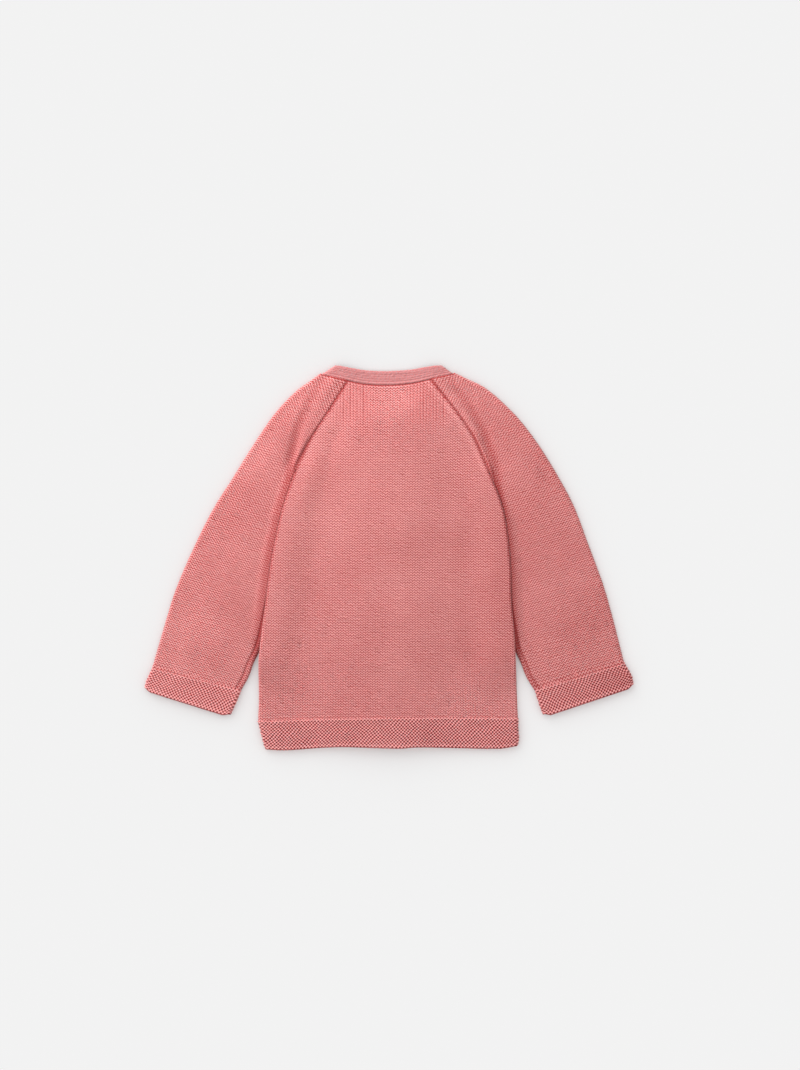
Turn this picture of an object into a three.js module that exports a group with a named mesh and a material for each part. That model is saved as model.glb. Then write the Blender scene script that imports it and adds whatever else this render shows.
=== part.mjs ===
import * as THREE from 'three';

// A baby's knitted cardigan, laid flat on its front with its sleeves beside it.
// Millimetres. +X runs from the sleeve at the left of the laid back to the one at its right,
// +Y from the hem to the neck, and +Z up, out of the back. The floor is z = 0.

// Cloth: how thick each knit is, the air between two layers and the gap left at a seam
const JERSEY = 1.8;
const GARTER = 2.4;
const BAND = 1.6;
const AIR = 0.8;
const SEAM = 0.4;
const SLEEVE_SEAM = { back: 1.3 * SEAM, front: 1.8 * SEAM };
const RIDGE = 0.6;
const RIDGE_PITCH = 2.63;
const HEM_DEPTH = 23;
const CUFF_DEPTH = 21;

// How the layers lie on each other. A fade is the length over which something comes or goes.
const TUCK_LIFT = 4.8;
const TUCK_REACH = 9;
const TUCK_FADE = 29;
const TUCK_TOP = { y: 98, fade: 52 };
const TUCK_FOOT = { y: -112, fade: 36 };
const PLACKET_CROWN = 4.3;
const PLACKET_SPREAD = 75;
const PLACKET_TOP = { y: 104, fade: 42 };
const NECK_DROP = 1.8;
const NECK_HOLLOW = { y: 150, halfWidth: 36, halfHeight: 38 };
const SLEEVE_CROWN = 1.2;

// Where the body's side turns from a raglan edge, which is flat, to a fold, which is bent
const BACK_BEND = { y: 84, fade: 40 };
const FRONT_BEND = { y: 44, fade: 14 };
const ARMHOLE_FOOT_Y = 46;

// Steps of the grids
const BODY_STEPS = 20;
const SLEEVE_STEPS = 18;
const FRONT_TOP_LEVELS = [96.2, 98.8, 100.5, 103, 107, 112, 117, 121.5];

// The body's two sides, one row for each level from the hem band up to the neck
const BODY = [
  { y: -130.8, left: -104.6, right: 103.2 },
  { y: -114.0, left: -104.0, right: 102.4 },
  { y: -82.0, left: -104.0, right: 101.2 },
  { y: -60.4, left: -101.6, right: 100.0 },
  { y: -34.0, left: -98.4, right: 97.8 },
  { y: -2.0, left: -94.0, right: 96.8 },
  { y: 30.8, left: -87.2, right: 92.8 },
  { y: 47.6, left: -82.4, right: 88.4 },
  { y: 68.4, left: -75.2, right: 80.0 },
  { y: 83.6, left: -68.0, right: 73.4 },
  { y: 97.2, left: -61.2, right: 67.2 },
  { y: 116.4, left: -48.8, right: 54.4 },
  { y: 142.0, left: -33.0, right: 34.2 },
];

// How far the front's armhole edge lies outside (+) or inside (-) the back's at the same level
const FRONT_ARMHOLE = [
  { y: -60.0, out: 0 },
  { y: 20.0, out: 0 },
  { y: 32.0, out: 0 },
  { y: 44.0, out: -5.4 },
  { y: 62.0, out: -2.8 },
  { y: 78.0, out: -0.6 },
  { y: 90.0, out: 0.4 },
  { y: 102.0, out: 3.0 },
  { y: 126.0, out: 6.2 },
];

// Hem band: the seam above it and the loose edge below it, across the back, and its two sides
const HEM_TOP = [
  { x: -104.6, y: -130.8 },
  { x: -56.0, y: -129.2 },
  { x: 0.0, y: -128.0 },
  { x: 48.0, y: -127.9 },
  { x: 103.2, y: -128.4 },
];
const HEM_EDGE = [
  { x: -100.0, y: -153.2 },
  { x: -83.0, y: -154.0 },
  { x: -56.0, y: -152.1 },
  { x: -35.0, y: -151.3 },
  { x: 9.0, y: -152.4 },
  { x: 22.0, y: -151.5 },
  { x: 48.0, y: -152.0 },
  { x: 88.0, y: -152.7 },
  { x: 103.0, y: -150.4 },
];
const HEM_SIDE_X = 101;
const HEM_SIDE = [
  { y: -153.5, left: -97.8, right: 101.6 },
  { y: -147.6, left: -101.4, right: 103.4 },
  { y: -140.0, left: -103.2, right: 103.4 },
  { y: -128.0, left: -104.6, right: 103.2 },
];

// How far a sleeve's inner edge lies in under the body's edge, or apart from it where negative
const SLEEVE_TUCK = [
  { y: -107.0, tuck: -15.2 },
  { y: -96.0, tuck: -8.8 },
  { y: -84.0, tuck: -4.4 },
  { y: -72.0, tuck: 0.2 },
  { y: -47.0, tuck: 3.2 },
  { y: -14.0, tuck: 6.0 },
  { y: 16.0, tuck: 6.4 },
  { y: 42.0, tuck: 5.2 },
  { y: 58.0, tuck: 2.4 },
  { y: 72.0, tuck: 0 },
  { y: 100.0, tuck: 0 },
  { y: 150.0, tuck: 0 },
];

// Sleeves, one row for each section from the neck to the cuff: where the section's outer fold lies,
// the levels where its back and front layers end, and 1 in closed once those ends meet at the underarm
const SLEEVE_LEFT = [
  { foldX: -54.9, foldY: 145.5, backY: 141.0, frontY: 125.4, closed: 0 },
  { foldX: -72.8, foldY: 134.0, backY: 119.8, frontY: 110.4, closed: 0 },
  { foldX: -91.2, foldY: 114.8, backY: 99.0, frontY: 92.0, closed: 0 },
  { foldX: -108.8, foldY: 89.2, backY: 77.6, frontY: 72.8, closed: 0 },
  { foldX: -124.8, foldY: 63.6, backY: 48.0, frontY: 48.0, closed: 0 },
  { foldX: -140.8, foldY: 38.0, backY: 16.0, frontY: 16.0, closed: 1 },
  { foldX: -156.8, foldY: 6.0, backY: -18.0, frontY: -18.0, closed: 1 },
  { foldX: -170.4, foldY: -26.0, backY: -47.6, frontY: -47.6, closed: 1 },
  { foldX: -179.6, foldY: -55.2, backY: -76.4, frontY: -76.4, closed: 1 },
  { foldX: -189.1, foldY: -87.9, backY: -106.4, frontY: -106.4, closed: 1 },
];
const SLEEVE_RIGHT = [
  { foldX: 52.5, foldY: 145.9, backY: 142.0, frontY: 125.4, closed: 0 },
  { foldX: 76.0, foldY: 136.0, backY: 125.8, frontY: 111.6, closed: 0 },
  { foldX: 100.0, foldY: 114.8, backY: 105.4, frontY: 93.0, closed: 0 },
  { foldX: 118.4, foldY: 91.6, backY: 81.2, frontY: 74.0, closed: 0 },
  { foldX: 134.4, foldY: 66.0, backY: 51.0, frontY: 51.0, closed: 0 },
  { foldX: 147.6, foldY: 41.2, backY: 22.0, frontY: 22.0, closed: 1 },
  { foldX: 159.2, foldY: 10.8, backY: -10.0, frontY: -10.0, closed: 1 },
  { foldX: 171.2, foldY: -22.0, backY: -42.0, frontY: -42.0, closed: 1 },
  { foldX: 179.2, foldY: -50.0, backY: -70.0, frontY: -70.0, closed: 1 },
  { foldX: 187.8, foldY: -84.0, backY: -106.2, frontY: -106.2, closed: 1 },
];

// Cuffs: their seam with the sleeve, their middle and their loose edge
const CUFF_LEFT = [
  { foldX: -189.4, foldY: -88.6, innerX: -119.2, innerY: -107.2 },
  { foldX: -193.2, foldY: -97.0, innerX: -125.2, innerY: -117.2 },
  { foldX: -196.2, foldY: -106.2, innerX: -131.2, innerY: -127.2 },
];
const CUFF_RIGHT = [
  { foldX: 188.4, foldY: -84.6, innerX: 117.6, innerY: -107.2 },
  { foldX: 193.4, foldY: -93.6, innerX: 122.8, innerY: -116.2 },
  { foldX: 196.2, foldY: -103.8, innerX: 130.0, innerY: -126.4 },
];

// Neckband over the back, from one shoulder fold to the other: its seam edge and its loose edge
const NECK_BACK = [
  { seamX: -54.4, seamY: 146.0, edgeX: -42.4, edgeY: 154.0 },
  { seamX: -39.6, seamY: 142.8, edgeX: -30.4, edgeY: 151.6 },
  { seamX: -20.0, seamY: 138.5, edgeX: -16.8, edgeY: 149.6 },
  { seamX: 0.0, seamY: 137.6, edgeX: 0.0, edgeY: 149.2 },
  { seamX: 19.2, seamY: 139.2, edgeX: 16.8, edgeY: 150.2 },
  { seamX: 36.0, seamY: 142.9, edgeX: 29.6, edgeY: 152.4 },
  { seamX: 52.0, seamY: 146.4, edgeX: 41.6, edgeY: 154.0 },
];

// Round front neck: the depths of the neckband's seam and loose edges below the shoulder fold
const FRONT_SEAM_DEPTH = 48;
const FRONT_EDGE_DEPTH = 45;
const FRONT_NECK_ANGLES = [25, 37, 49, 60, 70];

// The neckband comes to its shoulder fold at a slant over the back. This is its slope to the fold.
// Its stations over the back start a little in from the shoulder rows of its table.
const NECK_SLANT = 0.95;
const NECK_STATIONS = 15;
const NECK_START = 0.35;

// Front bands and buttons: the band over the buttons is the lower one, next to the floor
const PLACKET_HALF = 8;
const PLACKET_TOP_Y = 109;
const PLACKET_FOOT_Y = -151.6;
const BAND_RISE = 2.0;
const BAND_RISE_REACH = 26;
const BUTTONS = 5;
const BUTTON_TOP_Y = 100;
const BUTTON_STEP = 54;
const BUTTON_RADIUS = 5.5;
const BUTTON_THICK = 2.0;
const BUTTON_HOLE = 0.7;
const BUTTON_HOLE_RING = 1.5;
const DOME = 2.4;
const DOME_FLAT = 8.5;
const DOME_REACH = 16;
const DOME_LEVELS = [-27, -16, -10.5, -6, 0, 6, 10.5, 16];

const COLOURS = { jersey: 0xd98c8a, garter: 0xcd827f, neckband: 0xd88e8c, button: 0xe9c9bf };

function smooth(t) {
  const k = Math.min(Math.max(t, 0), 1);
  return k * k * (3 - 2 * k);
}

function mix(a, b, t) {
  return a + (b - a) * t;
}

// A level direction turned up by an angle
function turnedUp(level, angle) {
  const flat = Math.cos(angle);
  return new THREE.Vector3(level.x * flat, level.y * flat, Math.sin(angle));
}

// A cubic through the rows of a table, read off at a value of its key column
function read(table, key, column, value) {
  const last = table.length - 1;
  let k = 0;
  while (k < last - 1 && value > table[k + 1][key]) {
    k += 1;
  }
  const slope = (i) => {
    const a = table[Math.max(i - 1, 0)];
    const b = table[Math.min(i + 1, last)];
    return (b[column] - a[column]) / (b[key] - a[key]);
  };
  const from = table[k];
  const to = table[k + 1];
  const span = to[key] - from[key];
  const t = (value - from[key]) / span;
  if (t < 0) {
    return from[column] + slope(k) * (value - from[key]);
  }
  if (t > 1) {
    return to[column] + slope(k + 1) * (value - to[key]);
  }
  const h = t * t * (3 - 2 * t);
  const bow = t * (1 - t) * span;
  return mix(from[column], to[column], h) + bow * ((1 - t) * slope(k) - t * slope(k + 1));
}

// The same cubic by the row's own number, for tables with no key column
function section(table, at) {
  const rows = table.map((row, i) => ({ ...row, i }));
  const result = {};
  for (const column of Object.keys(table[0])) {
    result[column] = read(rows, 'i', column, at);
  }
  return result;
}

function bodyEdge(side, y) {
  return read(BODY, 'y', side < 0 ? 'left' : 'right', y);
}

function frontEdge(side, y) {
  return bodyEdge(side, y) + side * read(FRONT_ARMHOLE, 'y', 'out', y);
}

// How far the body's side is lifted by the sleeve under it, at its edge and fading inwards
function tuckLift(x, y) {
  const above = smooth((TUCK_TOP.y - y) / TUCK_TOP.fade);
  const below = smooth((y - TUCK_FOOT.y) / TUCK_FOOT.fade);
  const inFromEdge = Math.min(x - bodyEdge(-1, y), bodyEdge(1, y) - x);
  return TUCK_LIFT * above * below * smooth(1 - (inFromEdge - TUCK_REACH) / TUCK_FADE);
}

// The back is higher over the front bands, and sinks in the neck opening, where no front lies under it
function backLift(x, y) {
  const belowTop = 1 - smooth((y - PLACKET_TOP.y) / PLACKET_TOP.fade);
  const crown = PLACKET_CROWN * smooth(1 - Math.abs(x) / PLACKET_SPREAD) * belowTop;
  const acrossNeck = x / NECK_HOLLOW.halfWidth;
  const downNeck = (y - NECK_HOLLOW.y) / NECK_HOLLOW.halfHeight;
  const hollow = smooth(1 - acrossNeck ** 2 - downNeck ** 2);
  return tuckLift(x, y) + crown - NECK_DROP * hollow;
}

// The button band lies on the buttonhole band, so the front that carries it rises towards it
function frontLift(side, x, y) {
  const rise = side < 0 ? BAND_RISE * smooth(1 - (-x - PLACKET_HALF) / BAND_RISE_REACH) : 0;
  return tuckLift(x, y) + rise;
}

// A closed wall from a grid of middle points and their outward normals
function wall(grid, thickness, raise = () => 0) {
  const rows = grid.length;
  const columns = grid[0].length;
  const positions = [];
  for (const skin of [1, -1]) {
    grid.forEach((row, j) => row.forEach(({ at, out }) => {
      const extra = skin > 0 ? raise(j, out) : 0;
      const p = at.clone().addScaledVector(out, skin * thickness / 2 + extra);
      positions.push(p.x, p.y, p.z);
    }));
  }
  const skinSize = rows * columns;
  const index = [];
  const quad = (a, b, c, d) => index.push(a, b, c, a, c, d);
  for (let j = 0; j < rows - 1; j += 1) {
    for (let i = 0; i < columns - 1; i += 1) {
      const a = j * columns + i;
      quad(a, a + 1, a + columns + 1, a + columns);
      quad(skinSize + a, skinSize + a + columns, skinSize + a + columns + 1, skinSize + a + 1);
    }
  }
  const rim = [];
  for (let i = 0; i < columns - 1; i += 1) {
    rim.push(i);
  }
  for (let j = 0; j < rows - 1; j += 1) {
    rim.push(j * columns + columns - 1);
  }
  for (let i = columns - 1; i > 0; i -= 1) {
    rim.push((rows - 1) * columns + i);
  }
  for (let j = rows - 1; j > 0; j -= 1) {
    rim.push(j * columns);
  }
  rim.forEach((a, k) => {
    const b = rim[(k + 1) % rim.length];
    quad(b, a, skinSize + a, skinSize + b);
  });
  return solid(positions, index);
}

// A geometry whose faces point out, whichever way round the grid was walked
function solid(positions, index) {
  let volume = 0;
  const corner = (k) => new THREE.Vector3().fromArray(positions, index[k] * 3);
  for (let k = 0; k < index.length; k += 3) {
    volume += corner(k).dot(corner(k + 1).cross(corner(k + 2)));
  }
  if (volume < 0) {
    index.reverse();
  }
  const geometry = new THREE.BufferGeometry();
  geometry.setAttribute('position', new THREE.Float32BufferAttribute(positions, 3));
  geometry.setIndex(index);
  geometry.computeVertexNormals();
  return geometry;
}

// A section of one layer, from its bent edge inwards. bend is 0 for a flat edge and 1 for one that
// turns a full quarter, towards the other layer. along runs in the cloth's plane, sink across it.
function layer(length, bend, thickness, steps) {
  const radius = (thickness + AIR - SEAM) / 2;
  const turn = bend * Math.PI / 2;
  const arc = radius * turn;
  const centre = (radius + thickness / 2) * Math.sin(turn);
  const fine = radius * Math.PI / 2;
  const stops = [0, fine / 3, fine * 2 / 3, fine];
  const total = arc + length - centre;
  for (let k = 1; k <= steps; k += 1) {
    stops.push(mix(fine, total, k / steps));
  }
  return stops.map((s) => {
    const angle = Math.max(turn - s / radius, 0);
    const along = s < arc ? centre - radius * Math.sin(angle) : centre + s - arc;
    return { along, sink: radius * (1 - Math.cos(angle)), angle };
  });
}

// One row of a body panel. facing is +1 for the back and -1 for a front; the bent end is at edge.
function panelHalf(edge, inner, bend, thickness, steps, facing, place) {
  const inward = Math.sign(inner - edge);
  return layer(Math.abs(inner - edge), bend, thickness, steps).map(({ along, sink, angle }) => {
    const x = edge + inward * along;
    const { y, z } = place(x);
    return {
      at: new THREE.Vector3(x, y, z + facing * (thickness / 2 - sink)),
      out: new THREE.Vector3(-inward * Math.sin(angle), 0, facing * Math.cos(angle)),
    };
  });
}

// A row across the whole back, from one side to the other
function backRow(left, right, bendLeft, bendRight, thickness, steps, place) {
  const middle = (left + right) / 2;
  const first = panelHalf(left, middle, bendLeft, thickness, steps, 1, place);
  const second = panelHalf(right, middle, bendRight, thickness, steps, 1, place);
  return first.concat(second.reverse().slice(1));
}

// One section of a flattened sleeve or cuff, from its back edge round the outer fold to its front edge
function tubeRow(row, outward, thickness, steps, crown) {
  const foldRadius = (thickness + AIR) / 2;
  const height = 2 * thickness + AIR;
  const fold = new THREE.Vector2(row.foldX, row.foldY);
  const centre = fold.clone().addScaledVector(outward, -foldRadius - thickness / 2);
  const side = (endX, endY, facing) => {
    const end = new THREE.Vector2(endX, endY);
    const inward = centre.clone().sub(end);
    const length = inward.length();
    inward.normalize();
    return layer(length, row.closed, thickness, steps).map(({ along, sink, angle }) => {
      const puff = facing > 0 ? crown * Math.sin(Math.PI * along / length) ** 2 : 0;
      const z = facing > 0 ? height - thickness / 2 - sink + puff : thickness / 2 + sink;
      const flat = -Math.sin(angle);
      return {
        at: new THREE.Vector3(end.x + inward.x * along, end.y + inward.y * along, z),
        out: new THREE.Vector3(inward.x * flat, inward.y * flat, facing * Math.cos(angle)),
      };
    });
  };
  const round = [60, 30, 0, -30, -60].map((degrees) => {
    const angle = THREE.MathUtils.degToRad(degrees);
    const out = turnedUp(outward, angle);
    return { at: new THREE.Vector3(centre.x, centre.y, height / 2).addScaledVector(out, foldRadius), out };
  });
  return side(row.backX, row.backY, 1).concat(round, side(row.frontX, row.frontY, -1).reverse());
}

// Which way a sleeve's outer fold faces, square to the fold's own line
function foldOutward(table, at, side) {
  const a = section(table, Math.max(at - 0.1, 0));
  const b = section(table, Math.min(at + 0.1, table.length - 1));
  return new THREE.Vector2((b.foldY - a.foldY) * side, (a.foldX - b.foldX) * side).normalize().negate();
}

// A level of the body, t = 0 along the hem seam and 1 along the neck seam. yAt gives its height at x.
function bodyLevel(t) {
  const across = (u) => {
    const bottom = read(HEM_TOP, 'x', 'y', mix(BODY[0].left, BODY[0].right, u)) + SEAM;
    const neckX = mix(BODY.at(-1).left, BODY.at(-1).right, u);
    return mix(bottom, read(NECK_BACK, 'seamX', 'seamY', neckX) - SEAM, t);
  };
  const left = bodyEdge(-1, across(0));
  const right = bodyEdge(1, across(1));
  return { left, right, yAt: (x) => across((x - left) / (right - left)) };
}

function makeBack() {
  const grid = [];
  for (let j = 0; j <= BODY_STEPS; j += 1) {
    const { left, right, yAt } = bodyLevel(j / BODY_STEPS);
    const bendLeft = smooth((BACK_BEND.y - yAt(left)) / BACK_BEND.fade);
    const bendRight = smooth((BACK_BEND.y - yAt(right)) / BACK_BEND.fade);
    grid.push(backRow(left, right, bendLeft, bendRight, JERSEY, 8, (x) => {
      const y = yAt(x);
      return { y, z: JERSEY + AIR + backLift(x, y) };
    }));
  }
  return wall(grid, JERSEY);
}

// How far a front's edge at the neckband's seam lies from the middle, at the level y
function frontNeckX(side, y) {
  const shoulder = side < 0 ? NECK_BACK[0] : NECK_BACK.at(-1);
  const sine = (shoulder.seamY - y) / (FRONT_SEAM_DEPTH + SEAM);
  return (Math.abs(shoulder.seamX) + SEAM) * Math.sqrt(Math.max(1 - sine * sine, 0)) + SEAM / 2;
}

// A front's levels are the back's own up to the foot of the neck opening
function makeFront(side) {
  const levels = [];
  for (let j = 0; j <= BODY_STEPS; j += 1) {
    const level = bodyLevel(j / BODY_STEPS);
    if (level.yAt(0) < FRONT_TOP_LEVELS[0] - 6) {
      levels.push(level.yAt);
    }
  }
  for (const y of FRONT_TOP_LEVELS) {
    levels.push(() => y);
  }
  const grid = levels.map((yAt) => {
    const sideY = yAt(bodyEdge(side, 0));
    const edge = frontEdge(side, sideY);
    const inner = side * Math.max(PLACKET_HALF + SEAM, frontNeckX(side, sideY));
    const bend = smooth((FRONT_BEND.y - sideY) / FRONT_BEND.fade);
    return panelHalf(edge, inner, bend, JERSEY, 6, -1, (x) => {
      const y = yAt(x);
      return { y, z: JERSEY + frontLift(side, x, y) };
    });
  });
  return wall(grid, JERSEY);
}

// Garter ridges stand on the outer side of a band, apart from the side that lies on the floor
function ridges(j, out) {
  return out.z > -0.3 && j % 2 === 1 ? RIDGE : 0;
}

function hemLevel(x, t) {
  return mix(read(HEM_TOP, 'x', 'y', x) - SEAM / 4, read(HEM_EDGE, 'x', 'y', x), t);
}

function makeHemBack() {
  const rows = 2 * Math.round(HEM_DEPTH / RIDGE_PITCH);
  const grid = [];
  for (let j = 0; j <= rows; j += 1) {
    const t = j / rows;
    const left = read(HEM_SIDE, 'y', 'left', hemLevel(-HEM_SIDE_X, t));
    const right = read(HEM_SIDE, 'y', 'right', hemLevel(HEM_SIDE_X, t));
    grid.push(backRow(left, right, 1, 1, GARTER, 7, (x) => {
      const y = hemLevel(x, t);
      return { y, z: GARTER + AIR + backLift(x, y) };
    }));
  }
  return wall(grid, GARTER, ridges);
}

function makeHemFront(side) {
  const column = side < 0 ? 'left' : 'right';
  const rows = 4;
  const grid = [];
  for (let j = 0; j <= rows; j += 1) {
    const t = j / rows;
    const edge = read(HEM_SIDE, 'y', column, hemLevel(side * HEM_SIDE_X, t));
    grid.push(panelHalf(edge, side * (PLACKET_HALF + SEAM), 1, GARTER, 6, -1, (x) => {
      const y = hemLevel(x, t);
      return { y, z: GARTER + frontLift(side, x, y) };
    }));
  }
  return wall(grid, GARTER);
}

// A sleeve's seams are a little wider than SEAM, as its cloth meets the body's at a slant
function makeSleeve(table, side) {
  const grid = [];
  for (let j = 0; j <= SLEEVE_STEPS; j += 1) {
    const at = (table.length - 1) * j / SLEEVE_STEPS;
    const row = section(table, at);
    row.closed = smooth(row.closed);
    const tuck = read(SLEEVE_TUCK, 'y', 'tuck', row.backY);
    row.backX = bodyEdge(side, row.backY) + side * (SLEEVE_SEAM.back - tuck);
    const armhole = frontEdge(side, Math.max(row.frontY, ARMHOLE_FOOT_Y)) + side * SLEEVE_SEAM.front;
    row.frontX = mix(armhole, row.backX, row.closed);
    grid.push(tubeRow(row, foldOutward(table, at, side), JERSEY, 5, SLEEVE_CROWN));
  }
  return wall(grid, JERSEY);
}

function makeCuff(table, side) {
  const full = table.map(({ foldX, foldY, innerX, innerY }) => (
    { foldX, foldY, backX: innerX, backY: innerY, frontX: innerX, frontY: innerY, closed: 1 }));
  const rows = 2 * Math.round(CUFF_DEPTH / RIDGE_PITCH);
  const grid = [];
  for (let j = 0; j <= rows; j += 1) {
    const at = (full.length - 1) * j / rows;
    grid.push(tubeRow(section(full, at), foldOutward(full, at, side), GARTER, 4, SLEEVE_CROWN / 2));
  }
  return wall(grid, GARTER, ridges);
}

// The neckband runs from the front edge at one side up over the shoulder fold, along the back
// and down to the other front edge. Each station is a line from its seam edge to its loose edge.
function makeNeckband() {
  const across = [0, 1 / 3, 2 / 3, 1];
  const foldRadius = (JERSEY + AIR) / 2;
  const backStations = [];
  for (let k = 0; k < NECK_STATIONS; k += 1) {
    const t = k / (NECK_STATIONS - 1);
    const row = section(NECK_BACK, mix(NECK_START, NECK_BACK.length - 1 - NECK_START, t));
    backStations.push(across.map((v) => {
      const x = mix(row.seamX, row.edgeX, v);
      const y = mix(row.seamY, row.edgeY, v);
      const z = JERSEY * 1.5 + AIR + backLift(x, y);
      return { at: new THREE.Vector3(x, y, z), out: new THREE.Vector3(0, 0, 1) };
    }));
  }
  const frontHalf = (side) => {
    const shoulder = side < 0 ? NECK_BACK[0] : NECK_BACK.at(-1);
    const line = new THREE.Vector2(shoulder.edgeX - shoulder.seamX, shoulder.edgeY - shoulder.seamY);
    const along = line.clone().normalize();
    const outward = new THREE.Vector2(side * Math.abs(line.y), Math.abs(line.x)).normalize();
    const stations = [];
    for (const degrees of [90, 60, 30, 0, -30, -60, -90]) {
      const angle = THREE.MathUtils.degToRad(degrees);
      const out = turnedUp(outward, angle);
      const inset = foldRadius * (1 - Math.cos(angle)) + JERSEY / 2;
      const slide = inset * NECK_SLANT * Math.max(Math.sin(angle), 0);
      stations.push(across.map((v) => {
        const x = mix(shoulder.seamX, shoulder.edgeX, v) - outward.x * inset + along.x * slide;
        const y = mix(shoulder.seamY, shoulder.edgeY, v) - outward.y * inset + along.y * slide;
        const z = JERSEY + AIR / 2 + foldRadius * Math.sin(angle);
        return { at: new THREE.Vector3(x, y, z), out };
      }));
    }
    const reach = Math.abs(shoulder.seamX);
    const edgeReach = Math.abs(shoulder.edgeX);
    const lastAngle = THREE.MathUtils.radToDeg(Math.acos((PLACKET_HALF + SEAM) / reach));
    for (const degrees of [...FRONT_NECK_ANGLES, lastAngle]) {
      const angle = THREE.MathUtils.degToRad(degrees);
      const last = degrees === lastAngle;
      stations.push(across.map((v) => {
        const seamX = reach * Math.cos(angle);
        const edgeX = last ? seamX : Math.max(edgeReach * Math.cos(angle), PLACKET_HALF + SEAM);
        const x = side * mix(seamX, edgeX, v);
        const y = mix(
          shoulder.seamY - FRONT_SEAM_DEPTH * Math.sin(angle),
          shoulder.edgeY - FRONT_EDGE_DEPTH * Math.sin(angle),
          v,
        );
        const z = JERSEY / 2 + frontLift(side, x, y);
        return { at: new THREE.Vector3(x, y, z), out: new THREE.Vector3(0, 0, -1) };
      }));
    }
    return stations;
  };
  return wall([...frontHalf(-1).reverse(), ...backStations, ...frontHalf(1)], JERSEY);
}

function buttonPlaces() {
  return Array.from({ length: BUTTONS }, (_, k) => BUTTON_TOP_Y - k * BUTTON_STEP);
}

// A band is lifted over each button, which sits on its outer side
function dome(x, y) {
  const lifts = buttonPlaces().map((buttonY) => {
    const away = Math.hypot(x, y - buttonY);
    return DOME * smooth((DOME_REACH - away) / (DOME_REACH - DOME_FLAT));
  });
  return Math.max(...lifts);
}

function makeFrontBand(rise) {
  const levels = [PLACKET_FOOT_Y, PLACKET_TOP_Y];
  for (const buttonY of buttonPlaces()) {
    levels.push(...DOME_LEVELS.map((away) => buttonY + away).filter((y) => y < PLACKET_TOP_Y - 1));
  }
  levels.sort((a, b) => a - b);
  const grid = levels.map((y) => [-1, -0.5, 0, 0.5, 1].map((u) => {
    const x = u * PLACKET_HALF;
    const at = new THREE.Vector3(x, y, rise + BAND / 2 + dome(x, y));
    return { at, out: new THREE.Vector3(0, 0, -1) };
  }));
  return wall(grid, BAND);
}

function ring(radius, sides, x, y) {
  return Array.from({ length: sides }, (_, k) => {
    const angle = 2 * Math.PI * k / sides;
    return new THREE.Vector2(x + radius * Math.cos(angle), y + radius * Math.sin(angle));
  });
}

// A round button with four sewing holes
function makeButton() {
  const disc = new THREE.Shape(ring(BUTTON_RADIUS, 20, 0, 0));
  for (const { x, y } of ring(BUTTON_HOLE_RING, 4, 0, 0)) {
    disc.holes.push(new THREE.Path(ring(BUTTON_HOLE, 6, x, y)));
  }
  return new THREE.ExtrudeGeometry(disc, { depth: BUTTON_THICK, bevelEnabled: false });
}

const cardigan = new THREE.Group();

function add(name, geometry, colour, roughness) {
  const material = new THREE.MeshStandardMaterial({ color: COLOURS[colour], roughness, metalness: 0 });
  const mesh = new THREE.Mesh(geometry, material);
  mesh.name = name;
  cardigan.add(mesh);
  return mesh;
}

add('back', makeBack(), 'jersey', 0.95);
add('front_left', makeFront(-1), 'jersey', 0.95);
add('front_right', makeFront(1), 'jersey', 0.95);
add('sleeve_left', makeSleeve(SLEEVE_LEFT, -1), 'jersey', 0.95);
add('sleeve_right', makeSleeve(SLEEVE_RIGHT, 1), 'jersey', 0.95);
add('cuff_left', makeCuff(CUFF_LEFT, -1), 'garter', 0.95);
add('cuff_right', makeCuff(CUFF_RIGHT, 1), 'garter', 0.95);
add('hem_back', makeHemBack(), 'garter', 0.95);
add('hem_front_left', makeHemFront(-1), 'garter', 0.95);
add('hem_front_right', makeHemFront(1), 'garter', 0.95);
add('neckband', makeNeckband(), 'neckband', 0.95);
add('buttonhole_band', makeFrontBand(0), 'neckband', 0.95);
add('button_band', makeFrontBand(BAND_RISE), 'neckband', 0.95);
buttonPlaces().forEach((y, k) => {
  add(`button_${k + 1}`, makeButton(), 'button', 0.45).position.set(0, y, 0);
});

export default cardigan;
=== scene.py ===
# %% [markdown]
# # A baby's knitted cardigan, laid flat on its front
#
# The cardigan is knitted cotton. Its back, two fronts and two sleeves are stocking stitch,
# its cuffs and hem are garter stitch, and a narrow smooth band goes round the neck.
# The solids that come with the frame have the right size and place, but plain faces.
# This script makes the cloth again as thin walls on the same form, with the stitches raised
# in the mesh and the yarn in the material. We work in millimetres and turn them into
# Blender's metres at the last moment.

# %% Load the frame
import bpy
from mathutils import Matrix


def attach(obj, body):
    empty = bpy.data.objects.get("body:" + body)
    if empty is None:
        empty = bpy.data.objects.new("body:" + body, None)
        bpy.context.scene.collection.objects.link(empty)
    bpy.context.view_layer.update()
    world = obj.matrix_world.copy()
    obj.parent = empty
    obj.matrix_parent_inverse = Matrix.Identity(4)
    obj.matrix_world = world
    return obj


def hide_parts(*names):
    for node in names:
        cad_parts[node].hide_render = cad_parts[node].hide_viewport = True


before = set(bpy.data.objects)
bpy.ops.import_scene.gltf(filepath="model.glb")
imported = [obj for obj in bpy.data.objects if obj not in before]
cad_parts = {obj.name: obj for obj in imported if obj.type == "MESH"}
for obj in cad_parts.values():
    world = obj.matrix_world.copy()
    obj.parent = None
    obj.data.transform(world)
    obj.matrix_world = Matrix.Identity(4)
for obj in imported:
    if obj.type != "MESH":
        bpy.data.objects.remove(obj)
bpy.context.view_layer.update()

# %% [markdown]
# ## Tools for numbers
#
# numpy holds whole grids of points, so a sheet with tens of thousands of stitches is worked out
# in a few lines. `smooth` is the soft step that every fold and roll is made from, and `read`
# draws a cubic through the rows of a small table.

# %% Imports and small helpers
import math

import bmesh
import bpy
import numpy as np
from mathutils import Vector

MM = 0.001


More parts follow.
